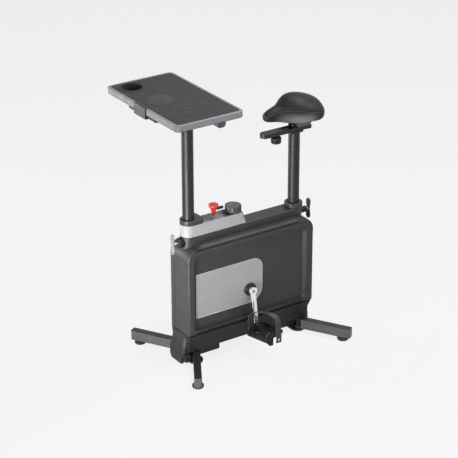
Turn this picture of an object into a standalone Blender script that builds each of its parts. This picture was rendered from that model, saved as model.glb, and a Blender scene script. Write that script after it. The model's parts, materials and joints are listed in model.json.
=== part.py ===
"""Folding desk exercise bike: a narrow pedal housing on four swivel legs, with a desk and a saddle on posts.

Metres, +Z up, +X towards the saddle, Y = 0 on the centre plane, floor at Z = 0.
The origin is the bottom centre of the whole object.
"""
import math

import bmesh
import bpy
from mathutils import Matrix, Vector

# Running gaps, how far a cutter runs past the face that it pierces, and the step between joined faces
GAP = 0.0003
SLIDE_CLEARANCE = 0.0005
CUT_PAST = 0.01
UNION_STEP = 0.0004

# Posts and their sleeves
POST_SPACING = 0.5385
POST_RADIUS = 0.025
POST_WALL = 0.002
SLEEVE_WALL = 0.0029
BUSH_WALL = 0.0015
BUSH_LENGTH = 0.050
DESK_POST_FOOT = 0.430
SEAT_POST_FOOT = 0.4125
INDEX_HOLE_RADIUS = 0.0035
INDEX_HOLE_PITCH = 0.0245
DESK_INDEX_HOLES = 15
SEAT_INDEX_HOLES = 11

# Legs, feet and pivots
FOOT_RADIUS = 0.025
FOOT_HEIGHT = 0.0152
LEG_WIDTH = 0.032
LEG_HEIGHT = 0.044
LEG_WALL = 0.003
LEG_SPLAY = math.radians(31)
LEG_PIVOT_Y = 0.052
FOOT_REACH = 0.2125
LEG_OVERHANG = 0.038
LEG_NOTCH = 0.017
LEG_END_CORNER = 0.005
PIVOT_PIN_RADIUS = 0.006
PIVOT_BARREL_RADIUS = 0.010

# Base frame under the housing
KEEL_HALF_WIDTH = 0.034
KEEL_BOTTOM = 0.021
KEEL_WALL = 0.004
KEEL_LENGTH_IN = 0.130
KEEL_LENGTH_OUT_FRONT = 0.036
KEEL_LENGTH_OUT_REAR = 0.0645
BRACKET_RADIUS = 0.033
BRACKET_BOTTOM = 0.004
BRACKET_THICKNESS = 0.0095
SPINE_PLATE = 0.005
APRON_HALF_WIDTH = 0.065
APRON_FLARE = 0.0085
APRON_REAR = 0.042
APRON_REAR_FLARE = 0.0115
APRON_CORNER = 0.011
COVER_WALL = 0.003
NOSE_FRONT = 0.0715
NOSE_BOTTOM = 0.008
NOSE_CHAMFER = 0.010
WHEEL_RADIUS = 0.020
WHEEL_WIDTH = 0.0195
WHEEL_AHEAD = 0.045
WHEEL_AXIS_Z = 0.031
WHEEL_AXLE_RADIUS = 0.004

# Pedal housing
HOUSING_FRONT = 0.0486
HOUSING_REAR = 0.0591
HOUSING_BOTTOM = 0.140
HOUSING_TOP = 0.533
HOUSING_HALF_WIDTH = 0.0745
HOUSING_EDGE_RADIUS = 0.011
FRONT_TOP_CORNER = 0.050
REAR_TOP_CORNER = 0.057
REAR_BOTTOM_CORNER = 0.008
FRONT_BOTTOM_CORNER = 0.002
BAND_ROOM = 0.0075
BAND_INSET = 0.0008
BAND_WALL = 0.003
RECESS_DEPTH = 0.0145
RECESS_FRONT = 0.0286
RECESS_REAR = 0.0506
RECESS_REAR_SLOPE = 0.0125
RECESS_BELOW = 0.0225
RECESS_ABOVE = 0.023
UNDERCUT_TOP = 0.0205
UNDERCUT_DEPTH = 0.0105
UNDERCUT_FRONT = 0.010
UNDERCUT_REAR = 0.008
SHELL_WALL = 0.003

# Silver side panels
TRIM_THICKNESS = 0.0022
TRIM_RADIUS = 0.0655
TRIM_TOP_RADIUS = 0.046
TRIM_HEIGHT = 0.2055
TRIM_FRONT = 0.0436

# Top housing and console
LIP_TOP = 0.545
LIP_THICKNESS = 0.0025
LIP_END_OFFSET = 0.001
CAP_HALF_WIDTH = 0.066
GROOVE_FRONT = 0.010
GROOVE_REAR = 0.027
SPINE_ROOM = 0.006
SPINE_TOP = 0.586
CONSOLE_TOP = 0.638
CONSOLE_FLOOR = 0.625
CONSOLE_LENGTH = 0.274
CONSOLE_SLOPE = 0.019
CONSOLE_SCREWS = (0.0996, 0.1095)
CONSOLE_SCREW_RADIUS = 0.0022
COLLAR_TOP = 0.660
COLLAR_REAR = 0.058
SEAT_COLLAR_PROUD = 0.004
SEAT_COLLAR_TOP = 0.607

# Lock handles
FRONT_LOCK_Z = 0.5585
REAR_LOCK_Z = 0.5535
LOCK_PIN_RADIUS = 0.005
FRONT_BOSS_RADIUS = 0.0225
FRONT_BOSS_LENGTH = 0.014
REAR_BOSS_RADIUS = 0.014
REAR_BOSS_LENGTH = 0.0305
HANDLE_LENGTH = 0.093
HANDLE_WIDTH = 0.025
HANDLE_THICKNESS = 0.008
FRONT_HANDLE_OUT = 0.0427
REAR_HANDLE_OUT = 0.0449

# Controls on the console
DIAL_BEHIND = 0.2245
DIAL_RADIUS = 0.0355
DIAL_NECK_RADIUS = 0.0265
DIAL_TOP = 0.667
DIAL_SHAFT_RADIUS = 0.004
DIAL_FLUTE_DEPTH = 0.0008
DIAL_FLUTES = 20
BRAKE_ROOM = 0.0056
BRAKE_CAP_RADIUS = 0.0223
BRAKE_KNOB_TOP = 0.697
BRAKE_KNOB_BOTTOM = 0.642
BRAKE_STUB_Z = 0.670
BRAKE_STUB_RADIUS = 0.0066
BRAKE_STUB_REACH = 0.0474
BRAKE_TENON_RADIUS = 0.004
BRAKE_ROD_RADIUS = 0.005
BRAKE_TRAVEL = 0.003
BRAKE_HOLE_ROOM = 0.001
BRAKE_PAD_THICKNESS = 0.013
BRAKE_PAD_HALF_X = 0.022
BRAKE_PAD_HALF_Y = 0.012
SPIGOT_SHARE = 0.8

# Crank and drive
CRANK_Z = 0.281
CRANK_LENGTH = 0.165
CRANK_TILT = math.radians(4.5)
SPINDLE_RADIUS = 0.0085
ARM_GAP = 0.0035
ARM_THICKNESS = 0.012
ARM_FLARE = 0.010
ARM_HUB_RADIUS = 0.0185
ARM_HUB_PROUD = 0.002
ARM_ROOT_RADIUS = 0.0125
ARM_END_RADIUS = 0.0105
PULLEY_RADIUS = 0.085
PULLEY_INNER_Y = 0.038
PULLEY_WIDTH = 0.012
FLYWHEEL_Z = 0.395
FLYWHEEL_RADIUS = 0.090
FLYWHEEL_HALF_WIDTH = 0.015
FLYWHEEL_HUB_RADIUS = 0.020
FLYWHEEL_NECK_RADIUS = 0.014
FLYWHEEL_WEB = 0.008
BELT_THICKNESS = 0.002
AXLE_RADIUS = 0.008
SEAL_RADIUS = 0.029
SPINDLE_HOLE = 0.0195

# Pedals: side profiles of (x, z) from the axle, at the pedal's inner and outer side
PEDAL_GAP = 0.004
PEDAL_WIDTH = 0.100
PEDAL_AXLE_RADIUS = 0.006
PEDAL_CORNER = 0.006
PEDAL_END_WALL = 0.003
PEDAL_INNER_PROFILE = ((-0.060, -0.018), (-0.030, 0.004), (-0.012, 0.0125), (0.020, 0.0125), (0.043, 0.004),
                       (0.046, -0.008), (0.030, -0.018), (0.000, -0.018), (-0.030, -0.022), (-0.060, -0.028))
PEDAL_OUTER_PROFILE = ((-0.022, -0.008), (-0.016, 0.004), (-0.010, 0.0125), (0.020, 0.0125), (0.066, 0.004),
                       (0.070, -0.008), (0.040, -0.018), (0.000, -0.022), (-0.012, -0.030), (-0.022, -0.036))
PEDAL_KEEL = ((-0.0215, -0.030), (-0.0215, -0.0345), (0.002, -0.060), (0.019, -0.060), (0.0195, -0.012),
              (-0.010, -0.012))
PEDAL_KEEL_Y = (0.0835, 0.0925)
# Window corners: distance along from the axle and out from the pedal's inner side
PEDAL_WINDOWS = (((-0.0425, 0.014), (-0.013, 0.014), (-0.013, 0.072), (-0.0205, 0.072)),
                 ((0.013, 0.014), (0.034, 0.014), (0.049, 0.084), (0.013, 0.084)))
STRAP_THICKNESS = 0.0025
STRAP_WIDTH = 0.024
STRAP_HEIGHT = 0.088
STRAP_CORNER = 0.042
STRAP_SKEW = 0.076
STRAP_SHIFT = 0.001
STRAP_FOOT = -0.010
STRAP_TAIL = 0.050
STRAP_TAIL_X = (0.028, 0.055)
STRAP_EYE_Z = -0.036
STRAP_EYE_RADIUS = 0.0045

# Desk
DESK_TOP = 1.2076
DESK_THICKNESS = 0.0276
DESK_AHEAD = 0.2187
DESK_BEHIND = 0.0988
DESK_HALF_WIDTH = 0.27475
DESK_CORNER = 0.022
DESK_LIP = 0.011
DESK_RIM = 0.014
BOARD_THICKNESS = 0.010
BAY_CORNER = 0.008
BEAM_LEDGE = 0.006
MAT_RECESS = 0.0018
MAT_THICKNESS = 0.0012
BEAM_HALF_WIDTH = 0.020
BEAM_HALF_LENGTH = 0.257
BEAM_HEIGHT = 0.0297
BEAM_CORNER = 0.014
BEAM_WALL = 0.003
CUP_RADIUS = 0.046
CUP_BEZEL_RADIUS = 0.0545
CUP_BEZEL = 0.0015
CUP_AHEAD = 0.137
CUP_Y = 0.203
CUP_WALL = 0.0025
CUP_DEPTH = 0.038
CUP_CHAMFER = 0.002
CLIP_HALF_WIDTH = 0.043
CLIP_PROUD = 0.005
HOLDER_HALF_WIDTH = 0.098
HOLDER_DEPTH = 0.068
HOLDER_HEIGHT = 0.0165
HOLDER_WALL = 0.003
CLIP_FOOT = 0.020
CLIP_OVER = 0.011
CLIP_THICKNESS = 0.003

# Saddle and its rail, from the seat post
RAIL_AHEAD = 0.174
RAIL_BEHIND = 0.0685
RAIL_CAP = 0.005
RAIL_CAP_LAP = 0.014
RAIL_CAP_PROUD = 0.0025
RAIL_NOSE = 0.024
RAIL_HALF_WIDTH = 0.021
RAIL_BOTTOM = 0.937
RAIL_HEIGHT = 0.018
RAIL_WALL = 0.0035
HEAD_PLATE = 0.0075
HEAD_PLATE_HALF = 0.022
HEAD_PLATE_AHEAD = 0.0385
HEAD_PLATE_BEHIND = 0.036
SADDLE_TRAVEL = 0.040
TRAVEL_ROOM = 0.002
SLOT_ROOM = 0.001
STEM_RADIUS = 0.005
STEM_Y = 0.0095
STEM_BEHIND = 0.010
TAB_AHEAD = 0.022
TAB_END = 0.004
TAB_Y = (0.0095, 0.0145)
TAB_TOP = 0.9845
PAD_HALF_WIDTH = 0.026
PAD_BEHIND = 0.060
SLIDER_AHEAD = 0.0945
SLIDER_KNOB_RADIUS = 0.0225
SLIDER_KNOB_TOP = 0.9275
SLIDER_KNOB_HEIGHT = 0.0295
SLIDER_BOLT_RADIUS = 0.004
# Levels of the saddle pan: height, front and rear from the post, half width
PAN_LEVELS = ((0.9575, 0.000, 0.066, 0.031), (0.9700, -0.001, 0.071, 0.036), (0.9850, -0.002, 0.080, 0.045))
PAN_CORNER = 0.012

# Places worked out from the sizes above
LEG_REACH = FOOT_REACH + LEG_OVERHANG
LEG_ALONG = LEG_REACH * math.sin(LEG_SPLAY) + LEG_WIDTH / 2 * math.cos(LEG_SPLAY)
CORNER_LOSS = LEG_END_CORNER * (math.sin(LEG_SPLAY) + math.cos(LEG_SPLAY) - 1)
FRONT_REACH = max(DESK_AHEAD + CLIP_PROUD, LEG_ALONG - CORNER_LOSS)
REAR_REACH = POST_SPACING + LEG_ALONG - CORNER_LOSS
DESK_X = (FRONT_REACH - REAR_REACH) / 2
SEAT_X = DESK_X + POST_SPACING
CRANK_X = (DESK_X + SEAT_X) / 2
LEG_BOTTOM = FOOT_HEIGHT + GAP
LEG_TOP = LEG_BOTTOM + LEG_HEIGHT
SPINE_PLATE_BOTTOM = LEG_TOP + 0.001
SPINE_PLATE_TOP = SPINE_PLATE_BOTTOM + SPINE_PLATE
APRON_BOTTOM = SPINE_PLATE_TOP + GAP
APRON_TOP = HOUSING_BOTTOM - GAP
SLEEVE_BOTTOM = SPINE_PLATE_TOP + GAP
SLEEVE_TOP = SPINE_TOP - COVER_WALL - GAP
SLEEVE_BORE = POST_RADIUS + BUSH_WALL + 2 * GAP
SLEEVE_RADIUS = SLEEVE_BORE + SLEEVE_WALL
SPINE_HALF_WIDTH = SLEEVE_RADIUS + SPINE_ROOM
BAND_HALF_WIDTH = SLEEVE_RADIUS + BAND_ROOM
SEAT_COLLAR_RADIUS = SPINE_HALF_WIDTH + SEAT_COLLAR_PROUD
FLYWHEEL_X = DESK_X + SLEEVE_RADIUS + FLYWHEEL_RADIUS + BRAKE_ROOM
POST_HOLE = POST_RADIUS + SLIDE_CLEARANCE
BEAM_TOP = DESK_TOP - DESK_THICKNESS - GAP
BEAM_BOTTOM = BEAM_TOP - BEAM_HEIGHT
DESK_POST_TOP = BEAM_BOTTOM - GAP
SEAT_POST_TOP = RAIL_BOTTOM - GAP
RECESS_Y = HOUSING_HALF_WIDTH - RECESS_DEPTH
TRIM_FACE_Y = RECESS_Y + GAP + TRIM_THICKNESS
ARM_INNER_Y = HOUSING_HALF_WIDTH + ARM_GAP
ARM_OUTER_Y = ARM_INNER_Y + ARM_THICKNESS
PEDAL_INNER_Y = ARM_OUTER_Y + ARM_FLARE + PEDAL_GAP
PEDAL_OUTER_Y = PEDAL_INNER_Y + PEDAL_WIDTH
RAIL_TOP = RAIL_BOTTOM + RAIL_HEIGHT
PEDAL_OFFSET = Vector((math.sin(CRANK_TILT), 0, -math.cos(CRANK_TILT))) * CRANK_LENGTH
BELT_ROOM = 0.0013

for old in list(bpy.data.objects):
    bpy.data.objects.remove(old, do_unlink=True)

PARTS = bpy.data.collections.new("desk_exercise_bike")
CUTTERS = bpy.data.collections.new("cutters")
for group in (PARTS, CUTTERS):
    bpy.context.scene.collection.children.link(group)

# Finishes: base colour, roughness, metallic
FINISHES = {
    "dark_plastic": ((0.045, 0.045, 0.047), 0.5, 0.0),
    "black_plastic": ((0.02, 0.02, 0.021), 0.45, 0.0),
    "silver_panel": ((0.38, 0.38, 0.39), 0.4, 0.6),
    "silver_plastic": ((0.36, 0.36, 0.37), 0.45, 0.0),
    "grey_paint": ((0.16, 0.16, 0.165), 0.45, 0.0),
    "frame_paint": ((0.06, 0.06, 0.062), 0.5, 0.0),
    "post_steel": ((0.1, 0.1, 0.105), 0.35, 0.8),
    "bright_steel": ((0.6, 0.6, 0.62), 0.3, 1.0),
    "crank_alloy": ((0.68, 0.68, 0.7), 0.3, 1.0),
    "cast_iron": ((0.12, 0.12, 0.12), 0.6, 0.8),
    "rubber": ((0.018, 0.018, 0.018), 0.8, 0.0),
    "nylon": ((0.7, 0.7, 0.68), 0.5, 0.0),
    "red_plastic": ((0.72, 0.09, 0.08), 0.4, 0.0),
    "desk_edge": ((0.34, 0.34, 0.35), 0.5, 0.0),
    "desk_mat": ((0.055, 0.055, 0.057), 0.7, 0.0),
    "saddle_cover": ((0.02, 0.02, 0.022), 0.55, 0.0),
    "saddle_shell": ((0.1, 0.1, 0.105), 0.5, 0.0),
}


def finish(name):
    """The Principled material of one finish, made once."""
    if name in bpy.data.materials:
        return bpy.data.materials[name]
    colour, roughness, metallic = FINISHES[name]
    material = bpy.data.materials.new(name)
    material.use_nodes = True
    shader = material.node_tree.nodes["Principled BSDF"]
    shader.inputs["Base Color"].default_value = (*colour, 1)
    shader.inputs["Roughness"].default_value = roughness
    shader.inputs["Metallic"].default_value = metallic
    return material


def add_object(name, mesh, look=None):
    """A part when it has a look, else a hidden helper."""
    obj = bpy.data.objects.new(name, mesh)
    if look:
        PARTS.objects.link(obj)
        mesh.materials.append(finish(look))
    else:
        CUTTERS.objects.link(obj)
        obj.hide_render = True
        obj.display_type = "WIRE"
    return obj


def mesh_from(bm, name):
    bmesh.ops.recalc_face_normals(bm, faces=bm.faces)
    mesh = bpy.data.meshes.new(name)
    bm.to_mesh(mesh)
    bm.free()
    return mesh


def block(name, low, high, look=None):
    """A box from its lowest corner to its highest."""
    low, high = Vector(low), Vector(high)
    bm = bmesh.new()
    place = Matrix.Translation((low + high) / 2) @ Matrix.Diagonal((*(high - low), 1))
    bmesh.ops.create_cube(bm, size=1, matrix=place)
    return add_object(name, mesh_from(bm, name), look)


def rod(name, start, end, radius, look=None, sides=32, end_radius=None):
    """A cylinder or cone between two points."""
    start, end = Vector(start), Vector(end)
    turn = (end - start).to_track_quat("Z", "Y").to_matrix().to_4x4()
    place = Matrix.Translation((start + end) / 2) @ turn
    top = radius if end_radius is None else end_radius
    bm = bmesh.new()
    bmesh.ops.create_cone(bm, cap_ends=True, segments=sides, radius1=radius, radius2=top,
                          depth=(end - start).length, matrix=place)
    return add_object(name, mesh_from(bm, name), look)


def circle(x, y, radius, count=32):
    step = 2 * math.pi / count
    return [(x + radius * math.cos(i * step), y + radius * math.sin(i * step)) for i in range(count)]


def rounded(corners, steps=5):
    """An outline through (x, y, radius) corners, each rounded with an arc of that radius."""
    points = []
    for i, (x, y, radius) in enumerate(corners):
        here = Vector((x, y))
        if radius <= 0:
            points.append((x, y))
            continue
        before = (Vector(corners[i - 1][:2]) - here).normalized()
        after = (Vector(corners[(i + 1) % len(corners)][:2]) - here).normalized()
        half = before.angle(after) / 2
        centre = here + (before + after).normalized() * radius / math.sin(half)
        first = here + before * radius / math.tan(half) - centre
        sweep = math.pi - 2 * half
        if first.x * (here - centre).y - first.y * (here - centre).x < 0:
            sweep = -sweep
        for k in range(steps + 1):
            turn = sweep * k / steps
            points.append((centre.x + first.x * math.cos(turn) - first.y * math.sin(turn),
                           centre.y + first.x * math.sin(turn) + first.y * math.cos(turn)))
    return [point for i, point in enumerate(points) if math.dist(point, points[i - 1]) > 1e-6]


def tangent_hull(first, second, steps=10):
    """The outline round two circles, each (x, y, radius), along their outer tangents."""
    (x1, y1, r1), (x2, y2, r2) = first, second
    away = Vector((x2 - x1, y2 - y1))
    heading = math.atan2(away.y, away.x)
    lean = math.acos((r1 - r2) / away.length)
    points = []
    for k in range(steps + 1):
        angle = heading + lean + (2 * math.pi - 2 * lean) * k / steps
        points.append((x1 + r1 * math.cos(angle), y1 + r1 * math.sin(angle)))
    for k in range(steps + 1):
        angle = heading - lean + 2 * lean * k / steps
        points.append((x2 + r2 * math.cos(angle), y2 + r2 * math.sin(angle)))
    return points


TURN_TO_PLANE = {
    "XY": Matrix.Identity(4),
    "XZ": Matrix(((1, 0, 0, 0), (0, 0, -1, 0), (0, 1, 0, 0), (0, 0, 0, 1))),
    "YZ": Matrix(((0, 0, 1, 0), (1, 0, 0, 0), (0, 1, 0, 0), (0, 0, 0, 1))),
}
NORMAL_OF_PLANE = {"XY": Vector((0, 0, 1)), "XZ": Vector((0, 1, 0)), "YZ": Vector((1, 0, 0))}


def plate(name, outline, low, high, plane="XY", look=None, holes=()):
    """A flat outline, with holes, extruded between two heights along its plane's normal."""
    curve = bpy.data.curves.new(name, "CURVE")
    curve.dimensions = "2D"
    curve.fill_mode = "BOTH"
    curve.extrude = abs(high - low) / 2
    for points in (outline, *holes):
        spline = curve.splines.new("POLY")
        spline.points.add(len(points) - 1)
        for target, (x, y) in zip(spline.points, points):
            target.co = (x, y, 0, 1)
        spline.use_cyclic_u = True
    helper = bpy.data.objects.new(name + "_outline", curve)
    bpy.context.scene.collection.objects.link(helper)
    bpy.context.view_layer.update()
    graph = bpy.context.evaluated_depsgraph_get()
    mesh = bpy.data.meshes.new_from_object(helper.evaluated_get(graph))
    mesh.name = name
    bpy.data.objects.remove(helper, do_unlink=True)
    bpy.data.curves.remove(curve)
    mesh.materials.clear()
    middle = NORMAL_OF_PLANE[plane] * (low + high) / 2
    bm = bmesh.new()
    bm.from_mesh(mesh)
    bmesh.ops.remove_doubles(bm, verts=bm.verts, dist=1e-6)
    bmesh.ops.dissolve_limit(bm, angle_limit=0.001, verts=[], edges=bm.edges)
    bm.transform(Matrix.Translation(middle) @ TURN_TO_PLANE[plane])
    bmesh.ops.recalc_face_normals(bm, faces=bm.faces)
    bm.to_mesh(mesh)
    bm.free()
    return add_object(name, mesh, look)


TURN_TO_AXIS = {"Z": (0, 0, 0), "X": (0, math.pi / 2, 0), "Y": (-math.pi / 2, 0, 0)}


def turned(name, profile, centre, axis="Z", look=None, steps=32, ring=False):
    """A profile of (radius, height) points turned about an axis; a ring's profile is a closed loop."""
    mesh = bpy.data.meshes.new(name)
    edges = [(i, i + 1) for i in range(len(profile) - 1)]
    if ring:
        edges.append((len(profile) - 1, 0))
    mesh.from_pydata([(r, 0, z) for r, z in profile], edges, [])
    obj = add_object(name, mesh, look)
    obj.location = centre
    obj.rotation_euler = TURN_TO_AXIS[axis]
    screw = obj.modifiers.new("turn", "SCREW")
    screw.steps = steps
    screw.render_steps = steps
    screw.use_merge_vertices = True
    screw.merge_threshold = 0.00001
    return obj


def loft(name, sections, look=None, twisted=False):
    """A closed skin through sections of as many 3-D points each; a twisted one is split in triangles."""
    bm = bmesh.new()
    rings = [[bm.verts.new(point) for point in section] for section in sections]
    count = len(rings[0])
    for low, high in zip(rings, rings[1:]):
        for i in range(count):
            j = (i + 1) % count
            bm.faces.new((low[i], low[j], high[j], high[i]))
    bm.faces.new(rings[0])
    bm.faces.new(rings[-1])
    if twisted:
        bmesh.ops.triangulate(bm, faces=bm.faces)
    return add_object(name, mesh_from(bm, name), look)


def combine(obj, operation, others):
    for other in others:
        step = obj.modifiers.new(other.name, "BOOLEAN")
        step.operation = operation
        step.object = other
    return obj


def cut(obj, *others):
    return combine(obj, "DIFFERENCE", others)


def fuse(obj, *others):
    return combine(obj, "UNION", others)


def soften(obj, width, segments=2, angle=40, pick=None):
    """Round the edges sharper than an angle, or only those whose two ends pick() accepts."""
    bevel = obj.modifiers.new("soften", "BEVEL")
    bevel.width = width
    bevel.segments = segments
    if pick is None:
        bevel.limit_method = "ANGLE"
        bevel.angle_limit = math.radians(angle)
        return obj
    bevel.limit_method = "WEIGHT"
    mesh = obj.data
    weights = mesh.attributes.new("bevel_weight_edge", "FLOAT", "EDGE")
    for edge in mesh.edges:
        ends = [mesh.vertices[i].co for i in edge.vertices]
        weights.data[edge.index].value = 1.0 if all(pick(end) for end in ends) else 0.0
    return obj


def joint_empty(name, place, parent=None):
    """An empty on a joint's axis, which carries the pieces that move together."""
    empty = bpy.data.objects.new(name, None)
    empty.empty_display_size = 0.02
    PARTS.objects.link(empty)
    empty["axis_at"] = place
    empty.location = Vector(place) - (Vector(parent["axis_at"]) if parent else Vector())
    empty.parent = parent
    return empty


def carry(empty, *pieces):
    """Hang pieces on a joint's empty without moving them."""
    for piece in pieces:
        piece.parent = empty
        piece.matrix_parent_inverse = Matrix.Translation(-Vector(empty["axis_at"]))


def follow(obj, *helpers):
    """Give helpers the place of the object that they shape."""
    for helper in helpers:
        helper.parent = obj


def sides():
    """Near side first: its name and the sign of its Y."""
    return (("left", -1), ("right", 1))


def span(side, inner, outer):
    """A stretch of Y on one side, lowest first."""
    return sorted((side * inner, side * outer))


# Feet and legs

def leg_outline():
    half = LEG_WIDTH / 2
    return rounded([(-half, -half, half), (LEG_REACH, -half, LEG_END_CORNER),
                    (LEG_REACH, half, LEG_END_CORNER), (-half, half, half)], steps=4)


def make_leg(name, place, angle):
    """A tube leg on a vertical pivot: its side walls stop short, so two ears hold the pin."""
    leg = plate(name, leg_outline(), LEG_BOTTOM, LEG_TOP, look="grey_paint")
    half = LEG_WIDTH / 2
    low, high = LEG_BOTTOM + LEG_WALL, LEG_TOP - LEG_WALL
    inside = block(name + "_inside", (0, LEG_WALL - half, low), (LEG_REACH - LEG_WALL, half - LEG_WALL, high))
    notch = block(name + "_notch", (-LEG_WIDTH, -LEG_WIDTH, low), (LEG_NOTCH, LEG_WIDTH, high))
    pin = rod(name + "_pin", (0, 0, 0), (0, 0, LEG_TOP * 2), PIVOT_PIN_RADIUS + GAP, sides=12)
    leg.location = (*place, 0)
    leg.rotation_euler = (0, 0, angle)
    follow(leg, inside, notch, pin)
    return cut(leg, inside, notch, pin)


def make_foot(name, leg):
    """A round rubber foot under the leg's outer end, flat below and rounded at its rim."""
    profile = [(0, FOOT_HEIGHT), (FOOT_RADIUS * 0.8, FOOT_HEIGHT), (FOOT_RADIUS, FOOT_HEIGHT * 0.72),
               (FOOT_RADIUS, FOOT_HEIGHT * 0.18), (FOOT_RADIUS * 0.92, 0), (0, 0)]
    foot = turned(name, profile, (FOOT_REACH, 0, 0), look="rubber", steps=20)
    foot.parent = leg
    return foot


def legs():
    for end, post_x, fore in (("front", DESK_X, -1), ("rear", SEAT_X, 1)):
        for name, side in sides():
            angle = math.atan2(side * math.cos(LEG_SPLAY), fore * math.sin(LEG_SPLAY))
            leg = make_leg(f"{end}_{name}_leg", (post_x, side * LEG_PIVOT_Y), angle)
            make_foot(f"{end}_{name}_foot", leg)


# Base

def base_frame():
    """A welded base: a long plate, two keels, two bracket plates and the four pivot pins."""
    name = "base_frame"
    plate_half = LEG_PIVOT_Y + PIVOT_PIN_RADIUS * 1.5
    web, narrow = BRACKET_RADIUS - KEEL_WALL, KEEL_HALF_WIDTH + 0.003
    x0, x1 = DESK_X - KEEL_LENGTH_OUT_FRONT, SEAT_X + APRON_REAR - COVER_WALL
    near = [(x0, narrow - 0.002), (DESK_X - web, narrow - 0.002), (DESK_X - web, plate_half),
            (DESK_X + web, plate_half), (DESK_X + web, narrow), (SEAT_X - web, narrow),
            (SEAT_X - web, plate_half), (SEAT_X + web, plate_half), (SEAT_X + web, narrow - 0.001),
            (x1, narrow - 0.001)]
    outline = [(x, -y) for x, y in near] + [(x, y) for x, y in reversed(near)]
    base = plate(name, outline, SPINE_PLATE_BOTTOM, SPINE_PLATE_TOP, look="frame_paint")
    solids, hollows = [], []
    overlap = SPINE_PLATE / 2
    for end, post_x, fore in (("front", DESK_X, -1), ("rear", SEAT_X, 1)):
        out = KEEL_LENGTH_OUT_FRONT if fore < 0 else KEEL_LENGTH_OUT_REAR
        inner, outer = sorted((post_x - fore * KEEL_LENGTH_IN, post_x + fore * (out - 0.001)))
        solids.append(block(f"{end}_keel", (inner, -KEEL_HALF_WIDTH, KEEL_BOTTOM),
                            (outer, KEEL_HALF_WIDTH, SPINE_PLATE_BOTTOM + overlap)))
        start = post_x - fore * (KEEL_LENGTH_IN - KEEL_WALL)
        stop = post_x - fore * (web + KEEL_WALL)
        wide = KEEL_HALF_WIDTH - KEEL_WALL
        hollows.append(block(f"{end}_keel_hollow", (min(start, stop), -wide, 0),
                             (max(start, stop), wide, SPINE_PLATE_BOTTOM - 0.001)))
        bracket = rounded([(post_x - BRACKET_RADIUS, -plate_half - BRACKET_RADIUS / 2, BRACKET_RADIUS),
                           (post_x + BRACKET_RADIUS, -plate_half - BRACKET_RADIUS / 2, BRACKET_RADIUS),
                           (post_x + BRACKET_RADIUS, plate_half + BRACKET_RADIUS / 2, BRACKET_RADIUS),
                           (post_x - BRACKET_RADIUS, plate_half + BRACKET_RADIUS / 2, BRACKET_RADIUS)], 3)
        top = BRACKET_BOTTOM + BRACKET_THICKNESS
        solids.append(plate(f"{end}_bracket", bracket, BRACKET_BOTTOM, top))
        solids.append(block(f"{end}_web", (post_x - web, -KEEL_HALF_WIDTH + KEEL_WALL, top - overlap),
                            (post_x + web, KEEL_HALF_WIDTH - KEEL_WALL, KEEL_BOTTOM + overlap)))
        for tag, side in sides():
            at = (post_x, side * LEG_PIVOT_Y)
            low, high = LEG_BOTTOM + LEG_WALL + GAP * 2, LEG_TOP - LEG_WALL - GAP * 2
            solids.append(rod(f"{end}_{tag}_pin", (*at, top - overlap), (*at, SPINE_PLATE_TOP - overlap),
                              PIVOT_PIN_RADIUS, sides=12))
            solids.append(rod(f"{end}_{tag}_barrel", (*at, low), (*at, high), PIVOT_BARREL_RADIUS, sides=12))
    fuse(base, *solids)
    return cut(base, *hollows)


def nose_section(z, ahead, half_width):
    """One level of the nose: a flat front with chamfered edges, and straight sides."""
    front, back = DESK_X - ahead, DESK_X - KEEL_LENGTH_OUT_FRONT - GAP * 2
    c = NOSE_CHAMFER
    return [(front, -half_width + c, z), (front, half_width - c, z), (front + c, half_width, z),
            (back, half_width, z), (back, -half_width, z), (front + c, -half_width, z)]


def apron_sections(inset=0.0, top=APRON_TOP):
    """Levels of the base cover: flush with the housing above, drawn in below with an S-shaped rear."""
    sections = []
    for z, flare, rear_flare in ((APRON_BOTTOM, 0.0, 0.0), (0.110, 0.42, 0.0), (0.118, 0.58, 0.13),
                                 (0.128, 0.8, 0.48), (top, 1.0, 1.0)):
        half = APRON_HALF_WIDTH + APRON_FLARE * flare - inset
        front = DESK_X - HOUSING_FRONT + inset
        rear = SEAT_X + APRON_REAR + APRON_REAR_FLARE * rear_flare - inset
        r = APRON_CORNER - inset
        outline = rounded([(front, -half, r), (rear, -half, r), (rear, half, r), (front, half, r)], 3)
        sections.append([(x, y, z) for x, y in outline])
    return sections


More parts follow.
